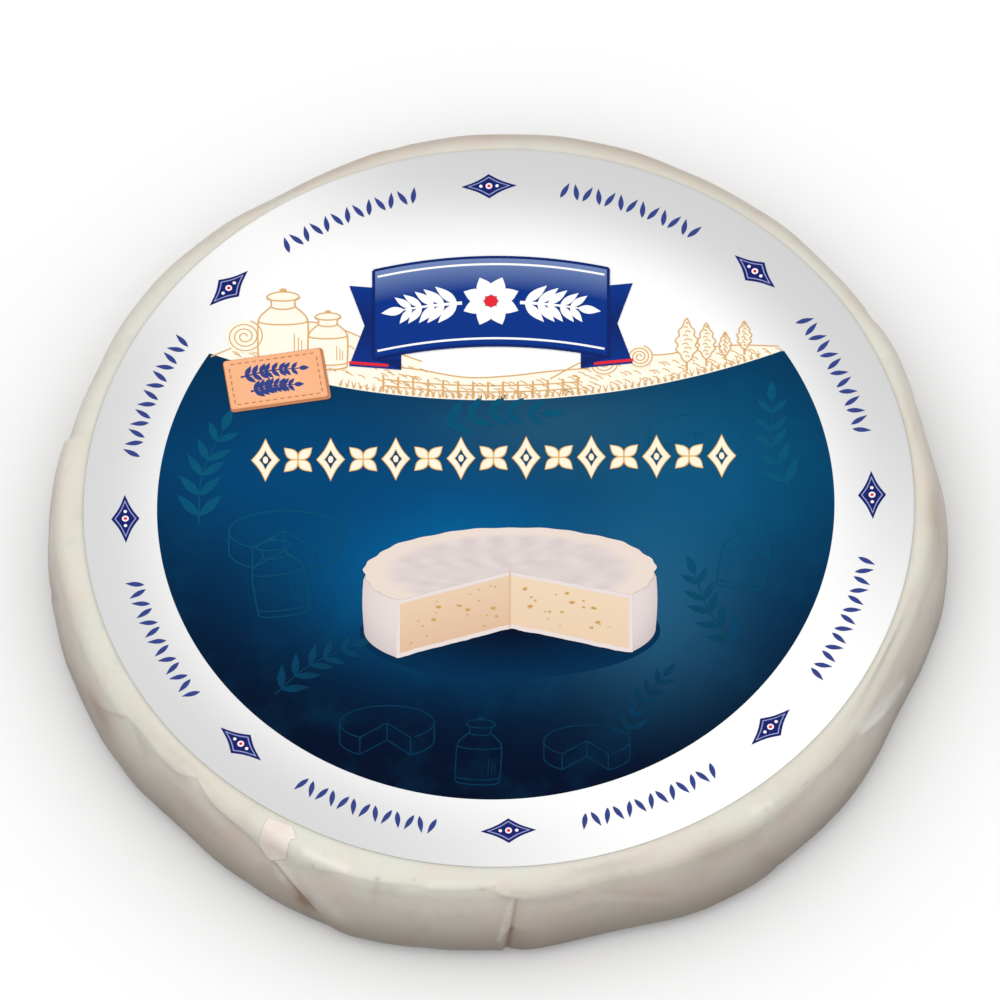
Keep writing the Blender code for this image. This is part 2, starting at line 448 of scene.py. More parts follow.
# Small nicks: degrees, millimetres down the section past the label's edge, radius and depth in millimetres
NICKS = (
    (299.5, 2.6, 0.55, 0.2), (307.6, 4.6, 0.7, 0.22), (314.3, 6.4, 0.6, 0.22), (245.2, 7, 0.6, 0.16),
    (254, 4.4, 0.55, 0.2), (258.8, 3.4, 0.45, 0.14), (267.8, 4.9, 0.6, 0.2), (269.4, 4.3, 0.5, 0.15),
    (280.2, 9, 0.5, 0.12), (76, 7.2, 0.8, 0.2), (129, 8.4, 0.7, 0.2),
)

# A crease's lip by how far beside the line it stands and how wide it is, and its painted shade by width and
# strength, as multiples of the crease's own
LIP_OFFSET = 1.6
LIP_WIDTH = 1.3
SHADE_WIDTH = 6
SHADE_STRENGTH = 0.45

# How dark a nick and the edge of a pleat under the base are painted, as painted shade in the dent and
# below the pleat's drop, as shares of a full crease
NICK_SHADE = 0.35
PLEAT_EDGE_SHADE = 0.6

# The wrap's small waves, and how high the painted shade that darkens its foot reaches
WAVE_HEIGHT = 0.15 * MM
SHADED_FOOT_HEIGHT = 26 * MM

# The folded-in paper under the base
BASE_PLEATS = 26
BASE_PLEAT_RISE = 0.7 * MM
BASE_HOLLOW = 8 * MM


def along_stroke(angle, down, first, top, last, foot):
    """How far points lie along and across a stroke on the unrolled side, and how long the stroke is."""
    run = turned_by(np.radians(last), np.radians(first)) * WHEEL_RADIUS
    drop = (foot - top) * MM
    length = np.hypot(run, drop)
    offset = turned_by(angle, np.radians(first)) * WHEEL_RADIUS
    fallen = down - top * MM
    return (offset * run + fallen * drop) / length, (offset * drop - fallen * run) / length, length


def near_spot(angle, down, at, deep_at, wide, tall):
    """A bell curve round a spot on the unrolled side, 1 at its middle, with its spreads in millimetres."""
    offset = turned_by(angle, np.radians(at)) * WHEEL_RADIUS / (wide * MM)
    return np.exp(-(offset**2) - ((down - deep_at * MM) / (tall * MM)) ** 2)


def crease_relief(angle, down, crease):
    """The relief of one crease, and how dark it is painted there, from 0 to 1.

    Across its line the paper dips as a bell curve and stands up in a wider one beside it. The side away
    from that lip gets painted shade in a much wider bell curve. All fade past the line's ends.
    """
    *ends, width, depth, lip, stain_and_shade_share = crease
    along, across, length = along_stroke(angle, down, *ends)
    wide = width * MM
    fade = smooth((along + wide) / (3 * wide)) * smooth((length + wide - along) / (3 * wide))
    dip = np.exp(-((across / wide) ** 2)) * fade
    side = 1 if lip > 0 else -1
    raised = np.exp(-(((across - side * LIP_OFFSET * wide) / (LIP_WIDTH * wide)) ** 2)) * fade
    shade = np.exp(-((across / (SHADE_WIDTH * wide)) ** 2)) * smooth(0.5 - side * across / wide) * fade
    return abs(lip) * MM * raised - depth * MM * dip, stain_and_shade_share * np.maximum(dip, SHADE_STRENGTH * shade)


def painted_highlight_strength(angle, down):
    """How strong the painted highlight is: the sum of the strokes, each a bell curve of the way to its
    stroke.
    """
    total = np.zeros_like(angle)
    for *ends, width, strength in PAINTED_HIGHLIGHTS:
        along, across, length = along_stroke(angle, down, *ends)
        past = along - np.clip(along, 0, length)
        total += strength * np.exp(-(past**2 + across**2) / (width * MM) ** 2)
    return np.clip(total, 0, 1)


def break_relief(angle, down):
    """How far the paper falls behind the line where the shoulder breaks into the wall.

    Past the line it falls as 1 - e^(-t) with t the way past it over the break's width, and comes back as a
    bell curve over the break's reach.
    """
    listed = np.array(sorted(BREAKS))
    round_angle = np.degrees(angle) % 360
    line_down = np.interp(round_angle, listed[:, 0], listed[:, 1], period=360) * MM
    fall = np.interp(round_angle, listed[:, 0], listed[:, 2], period=360) * MM
    past = np.maximum(down - line_down, 0)
    return -fall * (1 - np.exp(-past / BREAK_WIDTH)) * np.exp(-((past / BREAK_REACH) ** 2))


def wrap_columns(steps):
    """The angles of the wrap's columns: even steps of the running sum of a density, which is 1 plus a
    flat-topped bell round each sharp place."""
    angle = np.arange(FINE_STEPS) * TURN / FINE_STEPS
    density = np.ones_like(angle)
    for at, half in SHARP_PLACES:
        density += CROWDING * np.exp(-((turned_by(angle, np.radians(at)) / np.radians(half)) ** 4))
    total = np.cumsum(density)
    return np.interp((np.arange(steps) + 0.5) / steps * total[-1], total, angle)


def pleated_base(angle, radius):
    """How high the folded-in paper stands under the base, and how near a pleat's edge is, from 0 to 1.

    Each pleat climbs evenly across its width and drops at its edge. Their lines swirl a little, and the
    rise is greatest half way in and gone at the middle and at the lower edge.
    """
    swirl = 0.3 * smooth(1 - radius / BASE_RELIEF[1]) + 0.05 * np.sin(5 * angle) + 0.03 * np.sin(3 * angle)
    phase = (BASE_PLEATS * (angle + swirl) / TURN) % 1
    ramp = phase * smooth((1 - phase) / 0.25)
    inner = smooth((radius - BASE_HOLLOW) / (30 * MM))
    inner = inner * smooth((BASE_RELIEF[1] - radius) / (40 * MM))
    return BASE_PLEAT_RISE * ramp * inner, smooth((phase - 0.7) / 0.3) * inner


def wrap_surface(angle, down, section):
    """Points of the wrap, and their stain and painted shade, from their angles, ways down and the section
    there.

    Each point is the section's, moved out by the swells, the free end's step, the folds and the pleats,
    down by the shoulder's sags, and along the section's own outward direction by the creases, nicks and
    small waves. Each of the waves and pleats is a product of sines of the angle.
    """
    radius, height, outward, upward = np.moveaxis(section, -1, 0)
    share = 1 - height / WHEEL_HEIGHT
    on_base = height < 0.5 * BASE_CORNER
    start = np.where(on_base, BASE_RELIEF[0], TOP_RELIEF[0])
    full = np.where(on_base, BASE_RELIEF[1], TOP_RELIEF[1])
    shown = smooth((radius - start) / (full - start))
    past = (angle - OVERLAP_ANGLE) % TURN
    climb = smooth(past / OVERLAP_EDGE) * (1 - smooth((past - OVERLAP_EDGE) / OVERLAP_STRETCH))
    drifted = angle + PLEAT_DRIFT * np.sin(3 * angle + 0.7) + 0.4 * PLEAT_DRIFT * np.sin(7 * angle)
    pleats = PLEAT_DEPTH * np.sin(PLEATS * drifted / 2) ** 4 * smooth((share - 0.7) / 0.2)
    out = lobes(angle, SWELLS) + OVERLAP_STEP * climb - pleats
    for at, slant, width, deep in FOLDS:
        leaned = angle + np.radians(slant) * share
        out -= lobes(leaned, [(at, width / 2, deep)]) * smooth(share / 0.2)
    relief = WAVE_HEIGHT * np.sin(9 * angle + 3 * share) * np.sin(23 * angle + 0.8 - 2 * share)
    relief += break_relief(angle, down)
    creased = np.zeros_like(angle)
    for crease in CREASES:
        raised, near = crease_relief(angle, down, crease)
        relief += raised
        creased = np.maximum(creased, near)
    for at, deep_at, size, depth in NICKS:
        nick = near_spot(angle, down, at, deep_at, size, 0.7 * size)
        relief -= depth * MM * nick
        # Painted shade in the nick's dent
        creased = np.maximum(creased, NICK_SHADE * nick)
    # Patches of staining and painted shade
    for *place, strength in STAINS_AND_SHADE:
        creased = creased + strength * near_spot(angle, down, *place)
    reach = radius + shown * (out + relief * outward)
    sag = lobes(angle, SHOULDER_SAGS) * smooth(1 - share / 0.35)
    pleat_rise, pleat_edge = pleated_base(angle, radius)
    lifted = np.maximum(height + shown * (relief * upward - sag), 0) + np.where(height == 0, pleat_rise, 0)
    # Painted shade along each pleat's drop under the base
    stained_and_shaded = np.clip(creased * shown + np.where(height == 0, PLEAT_EDGE_SHADE * pleat_edge, 0), 0, 1)
    return around(AXIS, reach, angle, lifted), stained_and_shaded


def wrap_finish(settings):
    """Waxed off-white paper: mottled warm and cool whites, browner in its creases and stains with staining
    and painted shade, darkened by painted shade towards its foot, greyed by a painted shadow line by the
    label's edge, and paler where painted highlights lie, with fine fibres and cockles."""
    constants = {"Specular IOR Level": 0.3, "Subsurface Weight": 0.1, "Subsurface Scale": 0.002}
    finish = surface("wrap_paper", constants)
    broad = finish.noise(22, 3, 0.55)
    patchy = finish.noise(75, 4, 0.6)
    blotches = finish.noise(140, 5, 0.65)
    warm = finish.mix(finish.rise(broad, 0.36, 0.66), settings.white, settings.warm)
    blush = finish.rise(patchy, 0.46, 0.7, 0.0, 0.5) + finish.attribute("wall") * 0.38
    pink = finish.mix(blush, warm, settings.pink)
    cool = finish.mix(finish.rise(blotches, 0.52, 0.7, 0.0, 0.45), pink, settings.grey)
    # Staining and painted shade in the creases, stains, nicks and pleat edges
    stained_and_shaded = finish.mix(finish.attribute("creased") * 0.9, cool, settings.crease)
    # Painted shade darkens the paper towards its foot
    worn = finish.mix(finish.attribute("low") * 0.78, stained_and_shaded, settings.low)
    # Painted highlights on the paper
    highlighted = finish.mix(finish.attribute("gleam") * 0.8, worn, settings.gleam)
    # A painted shadow line greys the paper beside the label's edge
    finish.feed("Base Color", finish.mix(finish.attribute("edge") * 0.55, highlighted, settings.edge))
    finish.feed("Roughness", finish.rise(patchy, 0.3, 0.7, 0.38, 0.54))
    cockle = finish.noise(230, 3, 0.55)
    fibre = finish.noise(2600, 3, 0.6)
    finish.bump(cockle * 0.8 + fibre * 0.12, 0.5 * MM, 0.5)
    return finish.made


def add_wrap(settings):
    """The wrap as one closed shell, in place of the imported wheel."""
    rows = wheel_rows()
    angle, down = np.meshgrid(wrap_columns(settings.steps), way_down(rows))
    points, creased = wrap_surface(angle, down, rows[:, None])
    middles = [[*AXIS, WHEEL_HEIGHT], [*AXIS, 0.0]]
    # Painted shadow: a grey line on the wrap just past the label's edge
    shadow_line_offset = (down - LABEL_SHIFT * np.sin(angle)) / (0.5 * MM)
    off_base = smooth((rows[:, 0] - BASE_RELIEF[0]) / (9 * MM))
    # Painted shade: the wrap darkens towards its foot, and less far in under the base
    low = smooth(1 - rows[:, 1] / SHADED_FOOT_HEIGHT) * (0.4 + 0.6 * off_base)
    values = (
        ("creased", creased),
        ("edge", np.exp(-(shadow_line_offset**2))),
        ("low", np.broadcast_to(low[:, None], angle.shape)),
        ("wall", smooth((down - 4 * MM) / (9 * MM))),
        ("gleam", painted_highlight_strength(angle, down) * (rows[:, 1:2] > 0)),
    )
    wrap = add_shell("wrap", points, middles, wrap_finish(settings), values)
    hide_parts("wrapped_wheel")


# The small free end of the paper that lies over the shoulder: its left and right sides from the top down,
# as degrees and millimetres down the section past the label's edge
TAB_LEFT = ((236.9, 1.2), (237.3, 9.4), (239, 12.4))
TAB_RIGHT = ((240.6, 0.6), (241.9, 2.8), (241.3, 3.4), (241.4, 9.6))
TAB_LIFT = 0.07 * MM
TAB_THICKNESS = 0.06 * MM
TAB_STEPS = (36, 20)


def tab_side(corners):
    """Points evenly down one side of the tab, as a column of angles and one of ways down."""
    corners = np.array(corners)
    lengths = np.hypot(np.diff(np.radians(corners[:, 0])) * WHEEL_RADIUS / MM, np.diff(corners[:, 1]))
    place = np.append(0, np.cumsum(lengths)) / lengths.sum()
    share = np.linspace(0, 1, TAB_STEPS[0])[:, None]
    return np.radians(np.interp(share, place, corners[:, 0])), np.interp(share, place, corners[:, 1]) * MM


def tab_finish(settings):
    """The wrap's paper where it is clean and single: pinkish white, a little mottled."""
    finish = surface("tab_paper", {"Specular IOR Level": 0.3})
    patchy = finish.rise(finish.noise(120, 3), 0.4, 0.8, 0.0, 0.7)
    finish.feed("Base Color", finish.mix(patchy, settings.tab, settings.pink))
    finish.rough(75, 0.38, 0.54)
    return finish.made


def add_tab(settings):
    """A patch of the wrap's own surface, a little above it, between the tab's two sides."""
    rows = wheel_rows()
    share = np.linspace(0, 1, TAB_STEPS[1])
    (left, left_down), (right, right_down) = tab_side(TAB_LEFT), tab_side(TAB_RIGHT)
    angle = left + (right - left) * share
    down = left_down + (right_down - left_down) * share
    section = np.stack([np.interp(down, way_down(rows), part) for part in rows.T], axis=-1)
    laid, _ = wrap_surface(angle, down, section)
    patch = laid + TAB_LIFT * around((0, 0), section[..., 2], angle, section[..., 3])
    tab = add_piece("wrap_tab", patch, [grid_faces(*TAB_STEPS)], tab_finish(settings))
    add_thickness(tab, TAB_THICKNESS)


# The label's paper

LABEL_THICKNESS = 0.25 * MM
LABEL_FLAT = 93 * MM
LABEL_DROOP = 0.34 * MM
LABEL_SHIFT = 0.4 * MM
RIM_ROUND = 0.06 * MM


def label_droop(radius):
    """How far the label's paper lies below its flat top: a soft step down to the wrap at its rim."""
    return LABEL_DROOP * smooth((radius - LABEL_FLAT) / (LABEL_RADIUS - LABEL_FLAT))


def add_label_paper(settings):
    """The label as one thin closed shell: its top from the middle out, a rounded rim, and its back. Its
    rim lies a little towards the back of the wheel."""
    out = LABEL_RADIUS * np.array([0.2, 0.5, 0.75, 0.9, 0.94, 0.96, 0.975, 0.99])
    rim = LABEL_RADIUS - RIM_ROUND * np.array([1.0, 0.4, 0.0, 0.0, 0.4, 1.0])
    deep = np.array([0.0, 0.1, 0.3, 0.7, 0.9, 1.0])
    radius = np.concatenate([out, rim, out[::-1]])
    depth = np.concatenate([0 * out, deep, 0 * out + 1]) * LABEL_THICKNESS
    angle, radius = np.meshgrid(np.arange(settings.steps) * TURN / settings.steps, radius)
    height = LABEL_TOP - depth[:, None] - label_droop(radius)
    middle = (AXIS[0], AXIS[1] + LABEL_SHIFT * radius / LABEL_RADIUS)
    middles = [[*AXIS, LABEL_TOP], [*AXIS, LABEL_TOP - LABEL_THICKNESS]]
    points = around(middle, radius, angle, height)
    label = add_shell("label", points, middles, label_finish(settings))
    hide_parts("top_label")


# Where the grey tint round the rim leaves the paper pale, as painted highlight partly standing for the
# light on the coated paper: degrees round, spread in degrees, share
HIGHLIGHT_SECTORS = ((-48, 46, 1.0), (128, 22, 0.62), (-170, 60, 0.2))


def label_finish(settings):
    """Coated white paper. A soft grey tint darkens it towards its rim, partly the print's own grey and
    partly painted shade, but for pale sectors of painted highlight that are bell curves of the angle round
    the label."""
    finish = surface("label_paper", SHINE)
    x = finish.across(0)
    y = finish.across(1)
    angle = y.math("ARCTAN2", y, x)
    pale = 0.0
    for at, spread, share in HIGHLIGHT_SECTORS:
        apart = angle.math("WRAP", angle - float(np.radians(at)), np.pi, -np.pi) / float(np.radians(spread))
        pale = np.e ** (apart * apart * -1.0) * share + pale
    rim = finish.rise((x * x + y * y) ** 0.5, 0.6 * LABEL_RADIUS, 1.0 * LABEL_RADIUS)
    # Painted shade towards the rim, partly print, left pale in the painted highlight sectors
    rim_shade = finish.rise((1.0 - pale) * rim, 0.0, 1.0)
    rim_shaded = finish.mix(rim_shade, settings.white, settings.rim)
    specks = finish.rise(finish.noise(900, 3, 0.6), 0.45, 0.8, 0.0, 0.05)
    finish.feed("Base Color", finish.mix(specks, rim_shaded, settings.rim))
    finish.rough(*LABEL_ROUGH)
    finish.bump(finish.noise(1800) * 0.2 + finish.noise(SWELL_SCALE), *SWELL_BUMP)
    return finish.made


# The print

INK_THICKNESS = 0.03 * MM
INK_LAYER = 0.03 * MM
GOLDEN = (5**0.5 - 1) / 2
LEAF_STEPS = 9
LEAF_TIP = 0.03


def arc(centre, radii, first, last, count=40):
    """Points along an ellipse's arc from one angle to another, in degrees."""
    angle = np.radians(np.linspace(first, last, count))
    return np.asarray(centre) + np.stack([np.cos(angle), np.sin(angle)], axis=1) * radii


def line(start, end, count=2):
    """Points along a straight line."""
    return np.asarray(start) + np.linspace(0, 1, count)[:, None] * (np.asarray(end, float) - start)


def curve(points, steps=12):
    """A smooth curve through a few points, a Catmull-Rom spline: between two points it is the cubic
    whose ends slope as their neighbours lie."""
    points = np.asarray(points, float)
    padded = np.concatenate([2 * points[:1] - points[1:2], points, 2 * points[-1:] - points[-2:-1]])
    step = np.linspace(0, 1, steps, endpoint=False)[:, None, None]
    before, start, end, after = padded[:-3], padded[1:-2], padded[2:-1], padded[3:]
    slope = step * (end - before) + step**2 * (2 * before - 5 * start + 4 * end - after)
    run = start + 0.5 * (slope + step**3 * (3 * start - before - 3 * end + after))
    return np.concatenate([run.transpose(1, 0, 2).reshape(-1, 2), points[-1:]])


def moved(points, turn=0.0, to=(0, 0), size=1.0):
    """Points made as large as asked and turned about the origin, in degrees, and then moved."""
    cosine, sine = np.cos(np.radians(turn)), np.sin(np.radians(turn))
    return size * np.asarray(points, float) @ np.array([[cosine, sine], [-sine, cosine]]) + to


def spoke(centre, turn, reach):
    """The point that far from a centre, in the direction of the turn in degrees."""
    return moved([[reach, 0]], turn, centre)[0]


def blend(first, second, share):
    """From the first to the second, as the share goes from 0 to 1."""
    return np.asarray(first) * (1 - share) + np.asarray(second) * share


def beside(path, offset):
    """A path moved sideways along its own normals, to its left if the offset is above 0."""
    path = np.asarray(path, float)
    ahead = np.gradient(path, axis=0)
    ahead /= np.maximum(np.hypot(*ahead.T), 1e-9)[:, None]
    return path + np.stack([-ahead[:, 1], ahead[:, 0]], axis=1) * np.reshape(offset, (-1, 1))


class Print:
    """Flat patches of ink on the label, in millimetres from its middle. Higher layers lie on lower ones."""

    def __init__(self):
        self.points = []
        self.inks = []
        self.blocks = []
        self.count = 0

    def add(self, points, faces, inks, layer):
        """Adds faces, turned so that they face up, with their points' inks. All lie on the label's paper.

        The golden ratio's multiples give each patch its own height in its layer, so that no two coincide.
        """
        points = np.asarray(points, float)
        corners = points[faces]
        following = np.roll(corners, -1, axis=1)
        area = (corners[..., 0] * following[..., 1] - corners[..., 1] * following[..., 0]).sum(axis=1)
        faces = np.where(area[:, None] < 0, faces[:, ::-1], faces)
        level = layer + 0.8 * (GOLDEN * len(self.blocks) % 1)
        height = (LABEL_TOP + level * INK_LAYER - label_droop(np.hypot(*points.T) * MM)) / MM
        self.points.append(np.column_stack([points + AXIS / MM, height]))
        self.inks.append(np.broadcast_to(inks, (len(points), 4)))
        self.blocks.append(faces + self.count)
        self.count += len(points)

    def strip(self, first, second, ink, layer, second_ink=None, rows=2, closed=False):
        """The ruled surface between two lines of as many points, shading from one ink to the other."""
        share = np.linspace(0, 1, rows)[:, None, None]
        points = blend(first, second, share)
        inks = blend(ink, ink if second_ink is None else second_ink, share)
        inks = np.broadcast_to(inks, (*points.shape[:2], 4)).reshape(-1, 4)
        self.add(points.reshape(-1, 2), grid_faces(*points.shape[:2], closed), inks, layer)

    def ribbon(self, path, width, ink, layer):
        """A line of ink along a path, half its width to each side."""
        half = np.asarray(width) / 2
        self.strip(beside(path, half), beside(path, -half), ink, layer)

    def ribbons(self, paths, width, ink, layer):
        for path in paths:
            self.ribbon(path, width, ink, layer)

    def patch(self, outline, ink, layer, middle=None, middle_ink=None):
        """A fan from a middle from which the whole outline is seen, shading to the outline's ink."""
        outline = np.asarray(outline, float)
        middle = outline.mean(axis=0) if middle is None else middle
        middle_ink = ink if middle_ink is None else middle_ink
        inks = np.concatenate([np.broadcast_to(ink, (len(outline), 4)), [middle_ink]])
        faces = fan_faces(len(outline), np.arange(len(outline)))
        self.add(np.concatenate([outline, [middle]]), faces, inks, layer)

    def spot(self, centre, radii, ink, layer, count=20):
        """A filled ellipse."""
        self.patch(arc(centre, radii, 0, 360, count + 1)[:-1], ink, layer)

    def leaf(self, start, end, width, ink, layer):
        """A leaf with a straight spine, whose width follows the sine of the way along it."""
        spine = line(start, end, LEAF_STEPS)
        half = np.maximum(width / 2 * np.sin(np.pi * np.linspace(0, 1, LEAF_STEPS) ** 0.85), LEAF_TIP)
        self.strip(beside(spine, half), beside(spine, -half), ink, layer)

    def sprig(self, path, pairs, length, width, ink, layer, lean=42, stem=0.4):
        """A stem along a path with pairs of leaves that shorten towards its tip, and a leaf at the tip."""
        self.ribbon(path, np.linspace(stem, 0.5 * stem, len(path)), ink, layer)
        ahead = np.gradient(path, axis=0)
        headings = np.degrees(np.arctan2(ahead[:, 1], ahead[:, 0]))
        for share in np.linspace(0.12, 0.9, pairs):
            index = int(share * (len(path) - 1))
            reach = length * (1.05 - 0.35 * share)
            for side in (-1, 1):
                tip = spoke(path[index], headings[index] + side * lean, reach)
                self.leaf(path[index], tip, width * (1.05 - 0.3 * share), ink, layer)
        self.leaf(path[-1], spoke(path[-1], headings[-1], 0.8 * length), width, ink, layer)

    def piece(self, name, finish):
        """Makes one piece of all the patches."""
        inks = [("ink", "FLOAT_COLOR", "color", np.concatenate(self.inks))]
        points = np.concatenate(self.points) * MM
        made = add_piece(name, points, self.blocks, finish, inks, rounded=False)
        add_thickness(made, INK_THICKNESS)


def ink_finish(name):
    """Varnished ink in the colour held at each point, with a faint grain of the paper in it."""
    finish = surface(name, SHINE)
    ink = finish.attribute("ink", "Color")
    grain = finish.rise(finish.noise(1500, 3, 0.6), 0.4, 0.75, 0.0, 0.1)
    shade = finish.node("ShaderNodeVectorMath", {"operation": "SCALE"}, {0: ink, "Scale": 0.8})
    finish.feed("Base Color", finish.mix(grain, ink, shade))
    finish.rough(*LABEL_ROUGH)
    finish.bump(finish.noise(SWELL_SCALE), *SWELL_BUMP)
    return finish.made


# The blue field: the printed disc, and the arc of the white cap that cuts into its top, in millimetres
DISC_MIDDLE = np.array([-0.7, 0.3])
DISC_RADIUS = 79.1
CAP_LOW = np.array([0.3, 28.9])
CAP_RADIUS = 178
FIELD_MIDDLE = np.array([0.0, -15.0])
FIELD_STEPS = 1440

# Soft patches of light in the blue: the setting that holds their colour, x, y, reach in x and y, share
BLUE_LIGHTS = (
    ("glow", -14.2, -20.3, 33.5, 29.1, 1.0),
    ("slate", 9.6, 21.5, 31.3, 12.3, 0.54),
    ("steel", 36.2, -42.0, 19.9, 36.2, 1.0),
    ("teal", 50.5, 9.7, 29.5, 27.9, 0.43),
    ("west", -46.3, 9.0, 40.9, 21.5, 1.0),
)


def way_to_circle(directions, start, centre, radius, inside):
    """How far each direction runs from the start to a circle: the larger root of the line's square
    equation from inside it, and the smaller one from outside, or no end where the line misses."""
    offset = start - centre
    middle = directions @ offset
    under = middle**2 - offset @ offset + radius**2
    root = np.sqrt(np.maximum(under, 0))
    if inside:
        return root - middle
    return np.where((under > 0) & (middle < 0), -middle - root, np.inf)


def cap_foot(x):
    """The height of the white cap's foot: an arc that is lowest near the middle."""
    return CAP_LOW[1] + CAP_RADIUS - np.sqrt(CAP_RADIUS**2 - (x - CAP_LOW[0]) ** 2)


def field_outline():
    """The blue field's edge, seen from its middle: the nearer of the disc's circle and the cap's foot."""
    angle = np.arange(FIELD_STEPS) * TURN / FIELD_STEPS
    directions = np.stack([np.cos(angle), np.sin(angle)], axis=1)
    disc = way_to_circle(directions, FIELD_MIDDLE, DISC_MIDDLE, DISC_RADIUS, True)
    cap_middle = CAP_LOW + (0, CAP_RADIUS)
    cap = way_to_circle(directions, FIELD_MIDDLE, cap_middle, CAP_RADIUS, False)
    return FIELD_MIDDLE + directions * np.minimum(disc, cap)[:, None]


def blue_finish(settings):
    """Deep blue ink with soft lighter patches, each a bell curve of the place.

    It darkens to navy as a soft step of the way down plus the square of x - 25 mm over 474 mm.
    """
    finish = surface("label_blue_ink", SHINE)
    x = finish.across(0) / MM
    y = finish.across(1) / MM
    field = settings.blue
    for ink, at_x, at_y, reach_x, reach_y, share in BLUE_LIGHTS:
        offset_x = (x - at_x) / reach_x
        offset_y = (y - at_y) / reach_y
        near = np.e ** ((offset_x * offset_x + offset_y * offset_y) * -1.0)
        field = finish.mix(near * share, field, getattr(settings, ink))
    aside = x - 25.0
    foot = finish.rise(aside * aside / 474.0 - y, 2.3, 76.5)
    field = finish.mix(foot, field, settings.navy)
    clouds = finish.rise(finish.noise(60, 4, 0.6), 0.46, 0.74, 0.0, 0.08)
    finish.feed("Base Color", finish.mix(clouds, field, settings.teal))
    finish.rough(*LABEL_ROUGH)
    finish.bump(finish.noise(SWELL_SCALE), *SWELL_BUMP)
    return finish.made


def add_blue_field(settings):
    """The printed blue disc, as far up as the white cap."""
    field = Print()
    field.patch(field_outline(), settings.blue, 1, FIELD_MIDDLE)
    field.piece("print_blue_field", blue_finish(settings))


def wheel_lines():
    """The lines of a drawing of a low round cheese with a wedge taken out: its top has a half width of 1
    and its middle at the origin."""
    flat = (1, 0.42)
    drop = np.array([0, -0.42])
    top = arc((0, 0), flat, 0, 360, 60)
    rims = [spoke((0, 0), at, 1) * flat for at in (235, 300)]
    lines = [top[:40], top[50:], arc(drop, flat, 180, 235), arc(drop, flat, 300, 360)]
    lines += [line(rim, (0, 0)) for rim in rims]
    lines += [line(rim, rim + drop) for rim in np.array([*rims, (0, 0), (-1, 0), (1, 0)])]
    return lines + [line(rim + drop, drop) for rim in rims]


# A milk churn 1 high, from its foot's middle: its right side from the foot up, its rings by half width and
# height, its lid's middle and radii, and its shading strokes' places
CHURN_SIDE = ((0.3, 0), (0.31, 0.3), (0.3, 0.58), (0.22, 0.7), (0.15, 0.77), (0.15, 0.86), (0.2, 0.9))
CHURN_RINGS = ((0.31, 0.08), (0.3, 0.56), (0.15, 0.78), (0.2, 0.9))
CHURN_LID = ((0, 0.9), (0.2, 0.08))
CHURN_STROKES = (0.14, 0.19, 0.23)
CHURN_LINE = 0.35


def draw_churn(sheet, foot, height, line_ink, fill_ink, layer, turn=0.0):
    """A milk churn with its rings, a domed lid with a knob, a rounded foot and shading strokes."""

    def placed(points):
        return moved(points, turn, foot, height)

    side = curve(CHURN_SIDE, 6)
    sides = [placed(side * (-1, 1)), placed(side)]
    lid = placed(arc(*CHURN_LID, 0, 180, 16))
    if fill_ink is not None:
        sheet.strip(*sides, fill_ink, layer)
        sheet.patch(lid, fill_ink, layer + 0.3)
    rings = [placed(arc((0, level), (half, 0.05), 180, 360, 18)) for half, level in CHURN_RINGS]
    sheet.ribbons([*sides, *rings, lid], CHURN_LINE, line_ink, layer + 1)
    sheet.spot(placed([[0, 1]])[0], (0.045 * height, 0.03 * height), line_ink, layer + 1)
    sheet.ribbon(placed(arc((0, 0), (0.3, 0.05), 180, 360, 18)), CHURN_LINE, line_ink, layer + 1)
    strokes = [placed(line((at, 0.12), (at, 0.52 - at), 4)) for at in CHURN_STROKES]
    sheet.ribbons(strokes, 0.6 * CHURN_LINE, line_ink, layer + 1)


# Faint drawings in the blue, in millimetres and degrees: sprigs by foot, turn and length, churns by foot,
# turn and height, and round cheeses by place and size
FAINT_SPRIGS = (
    (-70, -4, 78, 26), (68, 4, 100, 24), (-52, -50, 35, 22),
    (30, -62, 62, 18), (56, -38, 118, 22), (-14, 22, 8, 24),
)
FAINT_CHURNS = ((-50, -28, 8, 20), (-5, -74, -3, 17), (56, -22, -10, 18))
FAINT_CHEESES = ((-50, -6, 13), (-26, -58, 11), (20.5, -63.3, 10), (46, 20, 11))
FAINT_LINE = 0.35


def faint_finish(settings):
    """Ink little lighter than the blue round it, darker towards its foot."""
    finish = surface("label_faint_ink", SHINE)
    level = finish.rise(finish.across(1), -70 * MM, 10 * MM)
    worn = finish.rise(finish.noise(260, 3, 0.6), 0.35, 0.7, 0.0, 0.35)
    ink = finish.mix(level, settings.faint_low, settings.faint)
    finish.feed("Base Color", finish.mix(worn, ink, settings.west))
    finish.rough(*LABEL_ROUGH)
    return finish.made


def add_faint_drawings(settings):
    """Thin tone-on-tone drawings in the blue field: sprigs, milk churns and round cheeses."""
    sheet = Print()
    ink = settings.faint
    for x, y, turn, length in FAINT_SPRIGS:
        stem = moved(curve([(0, 0), (0.5 * length, 0.08 * length), (length, 0)]), turn, (x, y))
        sheet.sprig(stem, 5, 0.3 * length, 0.09 * length, ink, 2)
    for x, y, turn, height in FAINT_CHURNS:
        draw_churn(sheet, (x, y), height, ink, None, 1.2, turn)
    for x, y, size in FAINT_CHEESES:
        sheet.ribbons([moved(drawn, 0, (x, y), size) for drawn in wheel_lines()], FAINT_LINE, ink, 2)
    sheet.piece("print_faint_drawings", faint_finish(settings))


